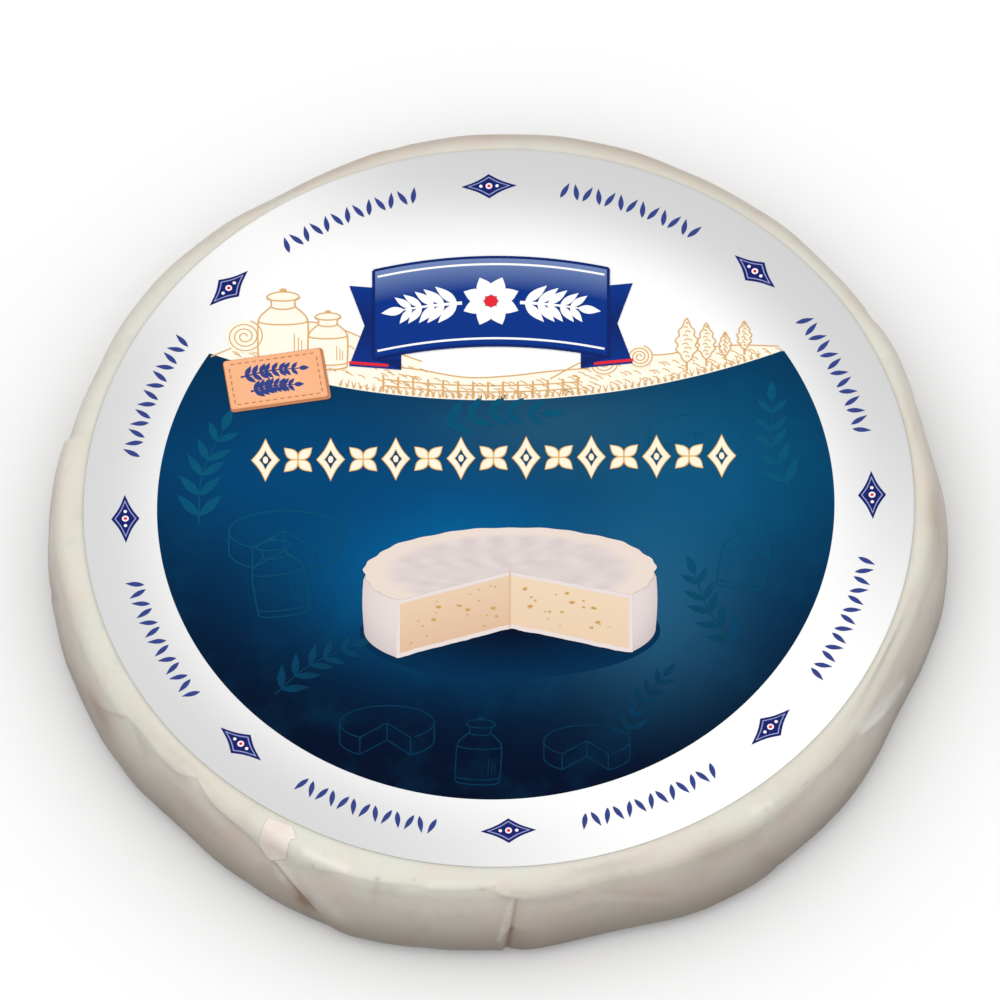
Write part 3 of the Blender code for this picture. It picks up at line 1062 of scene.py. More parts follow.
# The cap's drawing, in millimetres: churns by x, foot and height, bales by x, foot and size, poplars by x,
# foot and height
CAP_CHURNS = ((-50.5, 40.2, 19), (-40, 38.3, 15))
CAP_BALES = ((-59.5, 42.4, 4.4), (24.5, 35.2, 3.6), (33, 37.2, 3.1))
CAP_POPLARS = ((44, 36.4, 14), (48.6, 37.6, 11.5), (57.5, 40.6, 9), (53, 39.2, 7.5))
LEFT_HILL = ((-67.4, 41.4), (-60, 45), (-52, 49.2), (-44, 50.6), (-36, 48.2), (-26, 43), (-18, 39.6))
MEADOW = ((-30, 38.5), (-20, 37.6), (-8, 35.2), (2, 35.4), (12, 36.6), (22, 37.4))
RIGHT_HILL = ((12, 34.5), (20, 39.2), (29, 41.4), (38, 40.8), (47, 42.4), (56, 43.2), (65.6, 42.8))

# Widths of the drawing's lines: a crest's, the other outlines', the strokes' inside them, and the posts'
# and trunks'
CREST_LINE = 0.35
OUTLINE = 0.3
STROKE = 0.25
POST = 0.45
TRUNK = 0.5

# Strokes below a crest, by their shares of the way down, one stroke's corners and the room that it needs,
# the fence by its posts' places and its rails' heights, and the grass by its tufts' places and its blades'
# leans
HATCH_LEVELS = (0.25, 0.5, 0.72)
HATCH = np.array([(0, 0), (0.9, -0.25), (1.7, -0.9)])
HATCH_ROOM = 1.6
FENCE_POSTS = np.arange(-27, 22, 3.5)
FENCE_RAILS = (2.2, 3.9)
GRASS_TUFTS = np.arange(-37, 62, 1.55)
GRASS_LEANS = (-0.5, 0.05, 0.55)


def draw_hill(sheet, crest, settings, layer):
    """A hill from its crest down to the cap's foot, with short slanting strokes below its contour line."""
    crest = curve(crest)
    foot = np.stack([crest[:, 0], np.minimum(cap_foot(crest[:, 0]) + 0.05, crest[:, 1])], axis=1)
    sheet.strip(crest, foot, settings.pale, layer)
    sheet.ribbon(crest, CREST_LINE, settings.gold, layer + 1)
    for index in range(4, len(crest) - 2, 3):
        room = crest[index, 1] - foot[index, 1]
        for share in HATCH_LEVELS:
            if room * (1 - share) > HATCH_ROOM:
                start = crest[index] + (0.9 * np.sin(7 * index + 9 * share), -share * room)
                sheet.ribbon(curve(start + HATCH, 3), STROKE, settings.gold, layer + 1)


def draw_bale(sheet, foot, size, settings, layer):
    """A round bale of hay seen from its end: a spiral whose radius grows evenly, in a filled circle."""
    middle = np.asarray(foot) + (0, size)
    sheet.spot(middle, (size, size), settings.pale, layer, count=36)
    angle = np.linspace(0, 3.2 * TURN, 90)
    reach = size * (0.12 + 0.88 * angle / angle[-1])
    spiral = middle + np.stack([reach * np.cos(angle), reach * np.sin(angle)], axis=1)
    sheet.ribbon(spiral, OUTLINE, settings.gold, layer + 1)


def draw_poplar(sheet, foot, height, settings, layer):
    """A tall tree on a short trunk, with small strokes in its crown. The crown's half width is a sine of
    the way up, scalloped by a quicker sine."""
    foot = np.asarray(foot, float)
    sheet.ribbon(line(foot, foot + (0, 0.25 * height), 3), TRUNK, settings.gold, layer)
    share = np.linspace(0, 1, 33)
    half = 0.17 * height * np.sin(np.pi * share**0.8) * (1 + 0.16 * np.sin(9 * TURN * share / 2))
    level = 0.16 * height + 0.86 * height * share
    sides = [foot + np.stack([side * half, level], axis=1) for side in (-1, 1)]
    sheet.strip(*sides, settings.pale, layer + 1)
    sheet.ribbons(sides, OUTLINE, settings.gold, layer + 2)
    for index in range(4, 29, 3):
        reach = 0.7 * half[index]
        middle = foot + ((-1) ** index * 0.2 * reach, level[index])
        stroke = curve(middle + [(-0.5 * reach, 0), (0, 0.35), (0.5 * reach, -0.1)], 3)
        sheet.ribbon(stroke, STROKE, settings.gold, layer + 2)


def draw_fence(sheet, settings):
    """A fence whose rails follow the cap's foot."""
    foot = cap_foot(FENCE_POSTS)
    rails = [curve(np.stack([FENCE_POSTS, foot + rail], axis=1), 4) for rail in FENCE_RAILS]
    sheet.ribbons(rails, OUTLINE, settings.gold, 2)
    posts = [line((x, low + 0.5), (x, low + 5), 3) for x, low in zip(FENCE_POSTS, foot)]
    sheet.ribbons(posts, POST, settings.gold, 2.3)


def draw_grass(sheet, settings):
    """Tufts of curved blades along the cap's foot, whose heights are sines of their number and lean."""
    for index, x in enumerate(GRASS_TUFTS):
        foot = np.array([x, cap_foot(x) + 0.3])
        for lean in GRASS_LEANS:
            tall = 1.3 + 0.7 * np.sin(5.3 * index + 4 * lean)
            blade = curve(foot + [(0.2 * lean, 0), (0.5 * lean, 0.6 * tall), (lean, tall)], 3)
            sheet.ribbon(blade, np.linspace(0.28, 0.1, len(blade)), settings.gold, 4)


def add_cap_drawing(settings):
    """The gold drawing over the cap's foot: hills, bales, churns, poplars, a fence and tufts of grass."""
    sheet = Print()
    for crest, layer in ((MEADOW, 0.4), (LEFT_HILL, 1), (RIGHT_HILL, 1)):
        draw_hill(sheet, crest, settings, layer)
    for x, foot, size in CAP_BALES:
        draw_bale(sheet, (x, foot), size, settings, 3)
    for x, foot, height in CAP_CHURNS:
        draw_churn(sheet, (x, foot), height, settings.gold, settings.pale, 3)
    for x, foot, height in CAP_POPLARS:
        draw_poplar(sheet, (x, foot), height, settings, 2.5)
    draw_fence(sheet, settings)
    draw_grass(sheet, settings)
    sheet.piece("print_cap_drawing", ink_finish("label_gold_ink"))


# The folded band in the cap, in millimetres: its middle, half width, height and the rise of its arch, and
# its tails' reach, tuck behind it, top, foot, notch and rise outwards
BAND_MIDDLE = np.array([-1.8, 52.3])
BAND_HALF = 27.5
BAND_TALL = 24.0
BAND_RISE = 3.4
TAIL_REACH = 33.2
TAIL_TUCK = 6.5
TAIL_TOP = 6.8
TAIL_FOOT = -15.0
TAIL_NOTCH = 3.6
TAIL_LIFT = 1.2

# The band's line work, in millimetres, and its flower by petals, where they start and end, their width and
# its heart
BAND_LINE = 0.7
FLOWER = (8, 1.3, 6.9, 3.9, 1.6)


def band_line(x, level):
    """A line along the band at a share of its height, raised as a parabola towards the middle."""
    arch = BAND_RISE * (1 - (x / BAND_HALF) ** 2)
    return np.stack([x, level * BAND_TALL / 2 + arch], axis=1) + BAND_MIDDLE


def draw_tail(sheet, side, settings):
    """A notched tail of the band, darkest along its middle, with the fold behind it and a red hem."""
    inner = side * (BAND_HALF - TAIL_TUCK)
    outer = side * TAIL_REACH
    top, low = [line((inner, y), (outer, y + TAIL_LIFT), 9) + BAND_MIDDLE for y in (TAIL_TOP, TAIL_FOOT)]
    notch = (top[-1] + low[-1]) / 2 - (side * TAIL_NOTCH, 0)
    middle = line((top[0] + low[0]) / 2, notch, 9)
    for edge in (top, low):
        sheet.strip(edge, middle, settings.banner, 5, settings.banner_dark, 3)
    fold = [(side * BAND_HALF, -BAND_TALL / 2), (inner, -BAND_TALL / 2), (inner, TAIL_FOOT)]
    sheet.patch(fold + BAND_MIDDLE, settings.banner_dark, 6)
    sheet.ribbon(line(low[2] + (0, 0.9), low[-1] + (0, 0.9), 5), 0.8, settings.red, 6)


def add_band(settings):
    """A blue ribbon of cloth with folded tails, a pinstripe, and a white flower between two sprigs."""
    sheet = Print()
    for side in (-1, 1):
        draw_tail(sheet, side, settings)
    across = np.linspace(-BAND_HALF, BAND_HALF, 60)
    waist = band_line(across, 0.25)
    sheet.strip(band_line(across, 1), waist, settings.sheen, 7, settings.banner, 8)
    sheet.strip(waist, band_line(across, -1), settings.banner, 7, settings.banner, 2)
    for level in (1, -1):
        sheet.ribbon(band_line(across, level), BAND_LINE, settings.banner_dark, 8)
        sheet.ribbon(band_line(across[1:-1], 0.84 * level), 0.55, settings.white, 8)
    for side in (-1, 1):
        top, foot = [band_line(np.array([side * BAND_HALF]), level)[0] for level in (1, -1)]
        sheet.ribbon(line(top, foot, 3), BAND_LINE, settings.banner_dark, 8.3)
        stem = band_line(side * np.linspace(6.8, BAND_HALF - 7.2, 24), -0.02)
        sheet.sprig(stem, 5, 6.8, 2.3, settings.white, 9, lean=46, stem=0.9)
    heart = band_line(np.zeros(1), 0)[0]
    petals, start, end, width, middle = FLOWER
    for turn in (np.arange(petals) + 0.5) * 360 / petals:
        sheet.leaf(spoke(heart, turn, start), spoke(heart, turn, end), width, settings.white, 9)
    sheet.spot(heart, (middle, middle), settings.red, 10)
    sheet.piece("print_band", ink_finish("label_band_ink"))


# The row of ornaments across the blue, in millimetres
ROW_ENDS = (-57.6, 55.2)
ROW_LEVEL = 13.2
ROW_COUNT = 15
LOZENGE = (3.1, 5.4)
LOZENGE_LINE = 0.3
QUATREFOIL = 4.3


def lozenge(radii):
    """A lozenge's outline. Its sides are a little hollow, as a sine of the way along them."""
    corners = np.array([(1, 0), (0, 1), (-1, 0), (0, -1), (1, 0)], float)
    share = np.linspace(0, 1, 6, endpoint=False)[:, None]
    sides = [blend(start, end, share) for start, end in zip(corners[:-1], corners[1:])]
    return np.concatenate(sides) * (1 - 0.12 * np.tile(np.sin(np.pi * share), (4, 1))) * radii


def draw_open_lozenge(sheet, centre, settings, layer):
    """A lozenge of cream line with a gold edge on both sides, and a cream point in its middle."""
    outer = lozenge(LOZENGE)
    for ink, grow, shift in ((settings.edge, LOZENGE_LINE / min(LOZENGE), 0), (settings.cream, 0, 1)):
        large = outer * (1 + grow) + centre
        small = outer * (0.52 - 0.7 * grow) + centre
        sheet.strip(large, small, ink, layer + shift, closed=True)
    sheet.spot(centre, (0.62, 0.95), settings.cream, layer + 1, count=12)


def draw_quatrefoil(sheet, centre, settings, layer):
    """Four rounded leaves set crosswise, in cream with a gold edge."""
    wide = 0.5 * QUATREFOIL
    for turn in (45, 135, 225, 315):
        start, end, past = [spoke(centre, turn, reach) for reach in (0.3, QUATREFOIL, QUATREFOIL + 0.35)]
        sheet.leaf(centre, past, wide + 0.6, settings.edge, layer)
        sheet.leaf(start, end, wide, settings.cream, layer + 1)


def add_ornament_row(settings):
    """Open lozenges and four-leaved flowers in turn, in a row across the blue."""
    sheet = Print()
    for index, x in enumerate(np.linspace(ROW_ENDS[0] + LOZENGE[0], ROW_ENDS[1] - LOZENGE[0], ROW_COUNT)):
        draw = draw_quatrefoil if index % 2 else draw_open_lozenge
        draw(sheet, np.array([x, ROW_LEVEL]), settings, 3)
    sheet.piece("print_ornament_row", ink_finish("label_cream_ink"))


# The picture of a cut cheese, in millimetres: the middle of its top, the top's radii, how far its foot lies
# below, and the two cuts of the missing wedge, in degrees round the top
CHEESE_MIDDLE = np.array([2.6, -17.5])
CHEESE_RADII = np.array([34.0, 11.8])
CHEESE_DROP = np.array([0, -15.5])
CHEESE_CUTS = (220, 326)
CUT_HOLES = 22
CUT_STEPS = 24
RIND_STEPS = 50
TOP_STEPS = 140


def draw_rind(sheet, first, last, near, far, settings):
    """The rind between two angles round the top. It bulges as a sine of the way down, and its shade goes
    evenly from the near end's to the far end's and grows as the square of the way down."""
    rim = arc((0, 0), CHEESE_RADII, first, last, RIND_STEPS)
    share = np.linspace(-0.05, 1, 7)[:, None, None]
    bulge = np.where(share < 0, 0.975, 1 + 0.012 * np.sin(np.pi * share))
    wall = CHEESE_MIDDLE + rim * bulge + share * CHEESE_DROP
    dark = 0.55 * np.linspace(near, far, RIND_STEPS)[:, None] + 0.5 * share**2
    inks = blend(settings.rind, settings.rind_shade, dark)
    sheet.add(wall.reshape(-1, 2), grid_faces(7, RIND_STEPS), inks.reshape(-1, 4), 3)


def draw_cut(sheet, cut, ink, foot_ink, uneven, settings):
    """One cut of the wedge: paste with a ragged foot, edged with rind, and small holes in it."""
    rim = arc(CHEESE_MIDDLE, CHEESE_RADII, cut, cut, 1)[0]
    top = line(CHEESE_MIDDLE, rim, CUT_STEPS)
    ragged = 0.25 * np.cumsum(uneven.normal(0, 0.35, CUT_STEPS))
    low = top + CHEESE_DROP
    low[:, 1] += ragged - ragged[-1] * np.linspace(0, 1, CUT_STEPS)
    sheet.strip(top, low, ink, 4, foot_ink, 5)
    sheet.ribbons([top - (0, 0.5), low + (0, 0.5)], 1.1, settings.rind, 5)
    sheet.ribbon(line(rim, rim + CHEESE_DROP, 5), 0.9, settings.rind, 5)
    for _ in range(CUT_HOLES):
        share = 0.1 + 0.8 * uneven.random()
        level = 0.16 + 0.68 * uneven.random()
        size = 0.22 + 0.5 * uneven.random() ** 2
        place = CHEESE_MIDDLE + share * (rim - CHEESE_MIDDLE) + level * CHEESE_DROP
        sheet.spot(place, (size, 0.6 * size), settings.paste_hole, 6, count=10)


def draw_top(sheet, settings):
    """The top without its wedge. Sines make its rim waver and mottle its rind, and its edge is paler."""
    angle = np.radians(np.linspace(CHEESE_CUTS[1] - 360, CHEESE_CUTS[0], TOP_STEPS))
    wobble = 1 + 0.008 * np.sin(11 * angle) + 0.006 * np.sin(29 * angle)
    rim = CHEESE_RADII * np.stack([wobble * np.cos(angle), wobble * np.sin(angle)], axis=1)
    out = np.linspace(0.004, 1, 9)[:, None, None]
    top = CHEESE_MIDDLE + rim * out
    x, y = np.moveaxis(top, -1, 0)
    mottled = 0.5 + 0.5 * np.sin(0.9 * x + 1.7 * np.sin(0.8 * y)) * np.cos(0.55 * y + 2)
    inks = blend(settings.rind, settings.rind_shade, 0.15 + 0.35 * mottled[..., None] * (out < 0.95))
    inks[-2:] = blend(settings.rind, settings.paste_light, 0.35)
    sheet.add(top.reshape(-1, 2), grid_faces(9, TOP_STEPS), inks.reshape(-1, 4), 7)


def add_cheese_picture(settings):
    """A round cheese with a wedge cut out of its front: pale rind, and paste with small holes in it."""
    sheet = Print()
    uneven = np.random.default_rng(11)
    shadow = arc(CHEESE_MIDDLE + CHEESE_DROP - (0, 0.8), CHEESE_RADII * (1.03, 1.06), 0, 360, 90)[:-1]
    sheet.patch(shadow, settings.blue, 2, middle_ink=settings.navy)
    draw_rind(sheet, 180, CHEESE_CUTS[0], 0.75, 0.0, settings)
    draw_rind(sheet, CHEESE_CUTS[1], 360, 0.1, 0.9, settings)
    draw_cut(sheet, CHEESE_CUTS[0], settings.paste, settings.paste_deep, uneven, settings)
    draw_cut(sheet, CHEESE_CUTS[1], settings.paste_light, settings.paste, uneven, settings)
    sheet.ribbon(line(CHEESE_MIDDLE, CHEESE_MIDDLE + CHEESE_DROP, 5), 0.3, settings.paste_deep, 6)
    draw_top(sheet, settings)
    sheet.piece("print_cheese_picture", ink_finish("label_picture_ink"))


# The tilted tag, in millimetres and degrees: its place and size, its stitches' inset, length and step, and
# its sprigs' heights and starts
TAG_MIDDLE = np.array([-52.2, 35.1])
TAG_SIZE = np.array([22.8, 13.2])
TAG_TURN = 8.7
STITCH_INSET = 1.1
STITCH = 1.0
STITCH_STEP = 1.7
TAG_SPRIGS = ((2.0, -8.0), (-2.2, -6.2))


def rounded_box(size, corner):
    """A box's outline about the origin, with round corners."""
    half = np.asarray(size) / 2 - corner
    corners = [((1, 1), 0), ((-1, 1), 90), ((-1, -1), 180), ((1, -1), 270)]
    return np.concatenate([arc(half * way, (corner, corner), at, at + 90, 6) for way, at in corners])


def on_tag(points):
    """Points about the tag's own middle, moved to where it lies."""
    return moved(points, TAG_TURN, TAG_MIDDLE)


def tag_stitches():
    """Short lines in a row along each side of the tag."""
    half = TAG_SIZE / 2 - STITCH_INSET
    across, up = [np.arange(0.4 - reach, reach - 0.6, STITCH_STEP) for reach in half]
    stitches = []
    for way in (-1, 1):
        stitches += [line((x, way * half[1]), (x + STITCH, way * half[1]), 3) for x in across]
        stitches += [line((way * half[0], y), (way * half[0], y + STITCH), 3) for y in up]
    return stitches


def add_tag(settings):
    """A small peach card with a soft shadow, a line of stitches round its edge and two leafy sprigs."""
    sheet = Print()
    sheet.patch(on_tag(rounded_box(TAG_SIZE + 0.9, 0.9) + (0.25, -0.35)), settings.tag_shade, 9)
    sheet.patch(on_tag(rounded_box(TAG_SIZE, 0.6)), settings.tag, 10, middle_ink=settings.tag_light)
    sheet.ribbons([on_tag(stitch) for stitch in tag_stitches()], 0.28, settings.tag_shade, 11)
    for level, start in TAG_SPRIGS:
        stem = curve([(start, level - 0.3), (-1.1, level + 0.4), (-start - 2.2, level)])
        sheet.sprig(on_tag(stem), 8, 3.0, 1.25, settings.ring_blue, 11, lean=50, stem=0.5)
    sheet.piece("print_tag", ink_finish("label_tag_ink"))


# The ring round the print, in millimetres and degrees. A mark's lozenges are given by share of its size,
# ink and layer, and its points by offset and radius.
RING_RADIUS = 87.2
RING_MARKS = 8
RING_START = 1.5
RING_MARK = np.array([3.3, 6.5])
RING_LOZENGES = ((1.0, "ring_navy", 1), (0.78, "ring_light", 2), (0.68, "ring_navy", 3))
RING_POINTS = ((0, 0.8), (-1.9, 0.4), (1.9, 0.4))
RING_HEART = 0.42
RING_LEAVES = 13
RING_LEAF = np.array([2.1, 0.7])
RING_LEAF_WIDTH = 1.25
RING_LEAF_SPAN = 21.5


def draw_ring_mark(sheet, at, settings):
    """A lozenge on the ring with a paler line in it and three white points, one with a red heart."""
    for share, ink, layer in RING_LOZENGES:
        outline = lozenge(RING_MARK * share) + (RING_RADIUS, 0)
        sheet.patch(moved(outline, at), getattr(settings, ink), layer)
    for offset, size in RING_POINTS:
        sheet.spot(moved([[RING_RADIUS, offset]], at)[0], (size, size), settings.white, 4, count=14)
    sheet.spot(spoke((0, 0), at, RING_RADIUS), (RING_HEART, RING_HEART), settings.red, 5, count=12)


def add_ring_marks(settings):
    """Small lozenges round the ring, and between them rows of small leaves that lean both ways in turn."""
    sheet = Print()
    for at in RING_START + np.arange(RING_MARKS) * 360 / RING_MARKS:
        draw_ring_mark(sheet, at, settings)
        middle = at + 180 / RING_MARKS
        for leaf, place in enumerate(np.linspace(-0.5, 0.5, RING_LEAVES)):
            reach = RING_LEAF * (1, 1 if leaf % 2 else -1)
            ends = moved([-reach, reach] + np.array([RING_RADIUS, 0]), middle + place * RING_LEAF_SPAN)
            sheet.leaf(*ends, RING_LEAF_WIDTH, settings.ring_blue, 1)
    sheet.piece("print_ring_marks", ink_finish("label_ring_ink"))


# The stage, in metres and degrees

CAMERA_TURN = np.radians(1.81)
CAMERA_LIFT = np.radians(59.64)
CAMERA_ROLL = np.radians(2.1)
CAMERA_AWAY = 9.0
SENSOR = 36.0
FRAME_WIDTH = 233.45 * MM
AIM_SHIFT = np.array([0.303, 1.611]) * MM
FLOOR_STEPS = 96
FLOOR_CLOUD = (0.7, 0.7, 0.7, 1)


def add_camera():
    """A far camera above the front, turned and rolled as the photograph is."""
    back = np.array([
        np.sin(CAMERA_TURN) * np.cos(CAMERA_LIFT),
        -np.cos(CAMERA_TURN) * np.cos(CAMERA_LIFT),
        np.sin(CAMERA_LIFT),
    ])
    level = np.array([np.cos(CAMERA_TURN), np.sin(CAMERA_TURN), 0])
    upright = np.cross(back, level)
    right = level * np.cos(CAMERA_ROLL) - upright * np.sin(CAMERA_ROLL)
    up = level * np.sin(CAMERA_ROLL) + upright * np.cos(CAMERA_ROLL)
    target = np.array([*AXIS, LABEL_TOP]) + AIM_SHIFT[0] * right + AIM_SHIFT[1] * up
    camera = bpy.data.objects.new("camera", bpy.data.cameras.new("camera"))
    bpy.context.scene.collection.objects.link(camera)
    camera.data.sensor_width = SENSOR
    camera.data.lens = SENSOR * CAMERA_AWAY / FRAME_WIDTH
    camera.data.clip_end = 5 * CAMERA_AWAY
    turned = Matrix(np.column_stack([right, up, back]).tolist()).to_4x4()
    camera.matrix_world = Matrix.Translation(target + CAMERA_AWAY * back) @ turned
    bpy.context.scene.camera = camera


def add_key_light(settings):
    """A broad soft light from far off, high over the front left, so that all of the floor is lit alike."""
    light = bpy.data.lights.new("key_light", "SUN")
    light.angle = settings.key_spread
    light.energy = settings.key_power
    key = bpy.data.objects.new("key_light", light)
    bpy.context.scene.collection.objects.link(key)
    heading, lean = settings.key_heading, settings.key_lean
    away = Vector((np.sin(lean) * np.cos(heading), np.sin(lean) * np.sin(heading), np.cos(lean)))
    key.matrix_world = away.to_track_quat("Z", "Y").to_matrix().to_4x4()


def add_surround(settings):
    """Light from all round, strongest from above, weak from below, and a little stronger from the front."""
    world = bpy.data.worlds.new("studio")
    finish = Finish(world, "Background", {"Color": settings.surround})
    way = finish.node("ShaderNodeTexCoord", {}, {}, "Generated")
    level = finish.node("ShaderNodeSeparateXYZ", {}, {0: way}, 2)
    depth = finish.node("ShaderNodeSeparateXYZ", {}, {0: way}, 1)
    above = level * (settings.from_above - settings.from_horizon) + settings.from_horizon
    raised = finish.rise(level, -0.08, 0.0)
    sky = finish.node("ShaderNodeMix", {}, {0: raised, 2: settings.from_below, 3: above})
    finish.feed("Strength", sky * (1.0 - depth * settings.front_share))
    bpy.context.scene.world = world


def floor_finish(settings):
    """Matt pale paper with a very faint unevenness."""
    finish = surface("studio_floor", {"Specular IOR Level": 0.2})
    cloud = finish.rise(finish.noise(3, 3), 0.35, 0.7, 0.0, 0.04)
    finish.feed("Base Color", finish.mix(cloud, settings.floor, FLOOR_CLOUD))
    finish.rough(40, 0.85, 0.95)
    return finish.made


def add_stage(settings):
    """A round pale floor, a soft key light, an even surround and the camera. The floor sends no light
    back up, so that the surround's light from below stands for it."""
    radii = np.array([0.001, 0.4, 2.0, settings.floor_reach])
    ring = np.arange(FLOOR_STEPS)
    angle, radius = np.meshgrid(ring * TURN / FLOOR_STEPS, radii)
    blocks = [grid_faces(*radius.shape, closed=True)[:, ::-1], fan_faces(radius.size, ring)]
    points = np.concatenate([around((0, 0), radius, angle, 0 * radius).reshape(-1, 3), [[0, 0, 0]]])
    floor = add_object("floor", points, blocks, floor_finish(settings))
    floor.visible_diffuse = False
    add_key_light(settings)
    add_surround(settings)
    bpy.context.scene.view_settings.view_transform = "Standard"
    add_camera()


# Settings


def colour(name, description, red, green, blue):
    """A colour setting whose default shows as these 8-bit values."""
    default = linear(red, green, blue)
    return bpy.props.FloatVectorProperty(
        name=name, description=description, subtype="COLOR", size=4, min=0, max=1, default=default
    )


def count(name, description, default):
    return bpy.props.IntProperty(name=name, description=description, default=default, min=96)


def number(name, description, default, unit="NONE"):
    return bpy.props.FloatProperty(name=name, description=description, default=default, min=0, unit=unit)


def degrees(name, description, default):
    default = np.radians(default)
    return bpy.props.FloatProperty(name=name, description=description, subtype="ANGLE", default=default)


class WrapSettings(bpy.types.PropertyGroup):
    """The paper round the cheese."""

    steps: count("Steps round", "Columns of the wrap's mesh", 1080)
    white: colour("White", "The paper where it is cleanest", 220, 220, 208)
    warm: colour("Warm white", "Broad warmer patches", 219, 213, 200)
    pink: colour("Pink white", "Smaller pinkish patches, and the wall", 226, 209, 198)
    grey: colour("Grey white", "Small cool blotches", 205, 203, 194)
    # Colour of the creases and stains: partly staining, partly painted shade
    crease: colour("Crease", "The paper deep in a crease", 150, 118, 101)
    # Painted shadow colour for the line beside the label's edge
    edge: colour("Edge", "The paper beside the label's edge", 176, 174, 162)
    # Painted shade for the wrap towards its lower edge
    low: colour("Foot", "The paper towards its lower edge", 124, 108, 93)
    # Colour of the painted highlights
    gleam: colour("Gleam", "The paper where it is polished", 244, 242, 234)
    tab: colour("Tab", "The small free end of paper", 238, 229, 219)


class LabelSettings(bpy.types.PropertyGroup):
    """The label's paper and its print."""

    steps: count("Steps round", "Columns of the label's mesh", 720)
    white: colour("White", "Bare coated paper", 251, 251, 250)
    # The rim tint is partly the print's own grey and partly painted shade
    rim: colour("Rim tint", "The grey tint printed towards the rim", 205, 205, 206)
    blue: colour("Blue", "The blue field", 0, 45, 80)
    navy: colour("Navy", "The blue field's dark foot", 0, 13, 38)
    glow: colour("Glow", "The light behind the picture", 0, 105, 165)
    slate: colour("Slate", "Greyer light at the blue's top", 45, 93, 117)
    steel: colour("Steel", "Paler light low on the right", 40, 105, 143)
    teal: colour("Teal", "Greener light on the right", 8, 105, 150)
    west: colour("West", "Even light on the left", 0, 67, 114)
    faint: colour("Faint lines", "Tone-on-tone drawings near the top", 6, 82, 112)
    faint_low: colour("Low faint lines", "Tone-on-tone drawings in the navy", 4, 42, 66)
    gold: colour("Gold", "The cap's drawn lines", 218, 172, 112)
    pale: colour("Pale gold", "The cap's filled shapes", 253, 245, 228)
    cream: colour("Cream", "The row of ornaments", 251, 241, 217)
    edge: colour("Gold edge", "The ornaments' edges", 228, 180, 110)
    banner: colour("Band", "The folded band", 14, 52, 134)
    sheen: colour("Band sheen", "The band's upper edge", 116, 138, 184)
    banner_dark: colour("Band shade", "The band's tails and outline", 16, 38, 104)
    rind: colour("Rind", "The pictured cheese's rind", 228, 217, 214)
    rind_shade: colour("Rind shade", "The rind away from the light", 188, 176, 178)
    paste: colour("Paste", "The pictured cheese's cut", 230, 203, 174)
    paste_light: colour("Light paste", "The cut nearer the light", 235, 211, 183)
    paste_deep: colour("Deep paste", "The cut's foot", 219, 184, 153)
    paste_hole: colour("Hole", "Small holes in the cut", 203, 158, 92)
    tag: colour("Tag", "The peach card", 244, 178, 132)
    tag_light: colour("Tag light", "The card's middle", 247, 188, 148)
    tag_shade: colour("Tag shade", "The card's shadow and stitches", 190, 128, 92)
    ring_blue: colour("Ring blue", "Small leaves round the ring", 54, 68, 134)
    ring_navy: colour("Ring navy", "Lozenges round the ring", 28, 34, 104)
    ring_light: colour("Ring light", "Lines in the marks", 150, 163, 205)
    red: colour("Red", "The marks' points", 226, 44, 58)


class StageSettings(bpy.types.PropertyGroup):
    """The floor and the lights."""

    floor: colour("Floor", "The floor's colour", 250, 250, 250)
    floor_reach: number("Floor reach", "The floor's radius", 30.0, "LENGTH")
    surround: colour("Surround", "The light from all round", 255, 255, 255)
    from_above: number("From above", "The surround's strength straight above", 1.15)
    from_horizon: number("From the horizon", "Its strength at the horizon", 0.7)
    from_below: number("From below", "What the floor would send up", 0.03)
    front_share: number("Front share", "How much more comes from the front", 0.06)
    key_power: number("Key power", "The key light's strength", 0.32)
    key_spread: degrees("Key spread", "How broad the key light looks", 40)
    key_heading: degrees("Key heading", "Degrees round from +X to the key light", 250)
    key_lean: degrees("Key lean", "Degrees from straight overhead", 34)


# Operators


class PieceOperator:
    """What the operators share: each makes its pieces from one group of settings."""

    bl_options = {"REGISTER", "UNDO"}

    def execute(self, context):
        self.make(getattr(context.scene, self.group))
        return {"FINISHED"}


class CHEESE_OT_wrap(PieceOperator, bpy.types.Operator):
    """Adds the creased paper wrap round the cheese"""

    bl_idname = "cheese.wrap"
    bl_label = "Wrap"
    group = "cheese_wrap"
    make = staticmethod(add_wrap)


class CHEESE_OT_wrap_tab(PieceOperator, bpy.types.Operator):
    """Adds the small free end of paper over the shoulder"""

    bl_idname = "cheese.wrap_tab"
    bl_label = "Wrap tab"
    group = "cheese_wrap"
    make = staticmethod(add_tab)


class CHEESE_OT_label_paper(PieceOperator, bpy.types.Operator):
    """Adds the label's coated paper"""

    bl_idname = "cheese.label_paper"
    bl_label = "Label paper"
    group = "cheese_label"
    make = staticmethod(add_label_paper)


class CHEESE_OT_blue_field(PieceOperator, bpy.types.Operator):
    """Adds the printed blue field"""

    bl_idname = "cheese.blue_field"
    bl_label = "Blue field"
    group = "cheese_label"
    make = staticmethod(add_blue_field)


class CHEESE_OT_faint_drawings(PieceOperator, bpy.types.Operator):
    """Adds the faint drawings in the blue field"""

    bl_idname = "cheese.faint_drawings"
    bl_label = "Faint drawings"
    group = "cheese_label"
    make = staticmethod(add_faint_drawings)


class CHEESE_OT_cap_drawing(PieceOperator, bpy.types.Operator):
    """Adds the gold drawing in the label's white cap"""

    bl_idname = "cheese.cap_drawing"
    bl_label = "Cap drawing"
    group = "cheese_label"
    make = staticmethod(add_cap_drawing)


class CHEESE_OT_band(PieceOperator, bpy.types.Operator):
    """Adds the printed folded band"""

    bl_idname = "cheese.band"
    bl_label = "Band"
    group = "cheese_label"
    make = staticmethod(add_band)


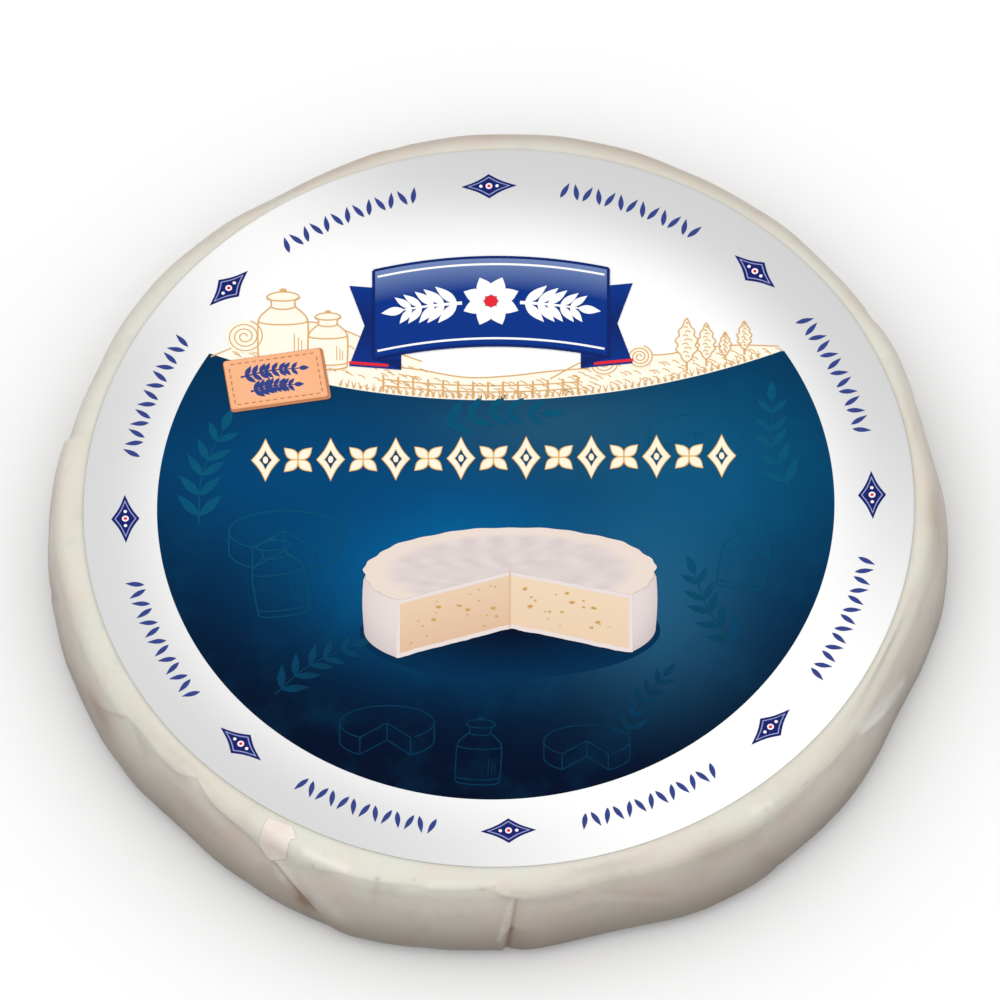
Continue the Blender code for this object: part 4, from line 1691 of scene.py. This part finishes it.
class CHEESE_OT_ornament_row(PieceOperator, bpy.types.Operator):
    """Adds the row of cream ornaments"""

    bl_idname = "cheese.ornament_row"
    bl_label = "Ornament row"
    group = "cheese_label"
    make = staticmethod(add_ornament_row)


class CHEESE_OT_cheese_picture(PieceOperator, bpy.types.Operator):
    """Adds the picture of a cut cheese"""

    bl_idname = "cheese.cheese_picture"
    bl_label = "Cheese picture"
    group = "cheese_label"
    make = staticmethod(add_cheese_picture)


class CHEESE_OT_tag(PieceOperator, bpy.types.Operator):
    """Adds the small tilted tag"""

    bl_idname = "cheese.tag"
    bl_label = "Tag"
    group = "cheese_label"
    make = staticmethod(add_tag)


class CHEESE_OT_ring_marks(PieceOperator, bpy.types.Operator):
    """Adds the small marks round the label's ring"""

    bl_idname = "cheese.ring_marks"
    bl_label = "Ring marks"
    group = "cheese_label"
    make = staticmethod(add_ring_marks)


class CHEESE_OT_stage(PieceOperator, bpy.types.Operator):
    """Adds the floor, the lights and the camera"""

    bl_idname = "cheese.stage"
    bl_label = "Stage"
    group = "cheese_stage"
    make = staticmethod(add_stage)


OPERATORS = (
    CHEESE_OT_wrap,
    CHEESE_OT_wrap_tab,
    CHEESE_OT_label_paper,
    CHEESE_OT_blue_field,
    CHEESE_OT_faint_drawings,
    CHEESE_OT_cap_drawing,
    CHEESE_OT_band,
    CHEESE_OT_ornament_row,
    CHEESE_OT_cheese_picture,
    CHEESE_OT_tag,
    CHEESE_OT_ring_marks,
    CHEESE_OT_stage,
)
GROUPS = {"cheese_wrap": WrapSettings, "cheese_label": LabelSettings, "cheese_stage": StageSettings}


class CHEESE_PT_panel(bpy.types.Panel):
    """Lists the settings and the pieces in the 3D view's sidebar."""

    bl_label = "Cheese wheel"
    bl_idname = "CHEESE_PT_panel"
    bl_space_type = "VIEW_3D"
    bl_region_type = "UI"
    bl_category = "Cheese wheel"

    def draw(self, context):
        for group, settings in GROUPS.items():
            box = self.layout.box()
            for name in settings.__annotations__:
                box.prop(getattr(context.scene, group), name)
            for operator in OPERATORS:
                if operator.group == group:
                    box.operator(operator.bl_idname)


def register():
    for made in (*GROUPS.values(), *OPERATORS, CHEESE_PT_panel):
        bpy.utils.register_class(made)
    for group, settings in GROUPS.items():
        setattr(bpy.types.Scene, group, bpy.props.PointerProperty(type=settings))


def unregister():
    for group in GROUPS:
        delattr(bpy.types.Scene, group)
    for made in (CHEESE_PT_panel, *reversed(OPERATORS), *GROUPS.values()):
        bpy.utils.unregister_class(made)


def main():
    register()
    for operator in OPERATORS:
        getattr(bpy.ops.cheese, operator.bl_idname.split(".")[1])()


if __name__ == "__main__":
    main()
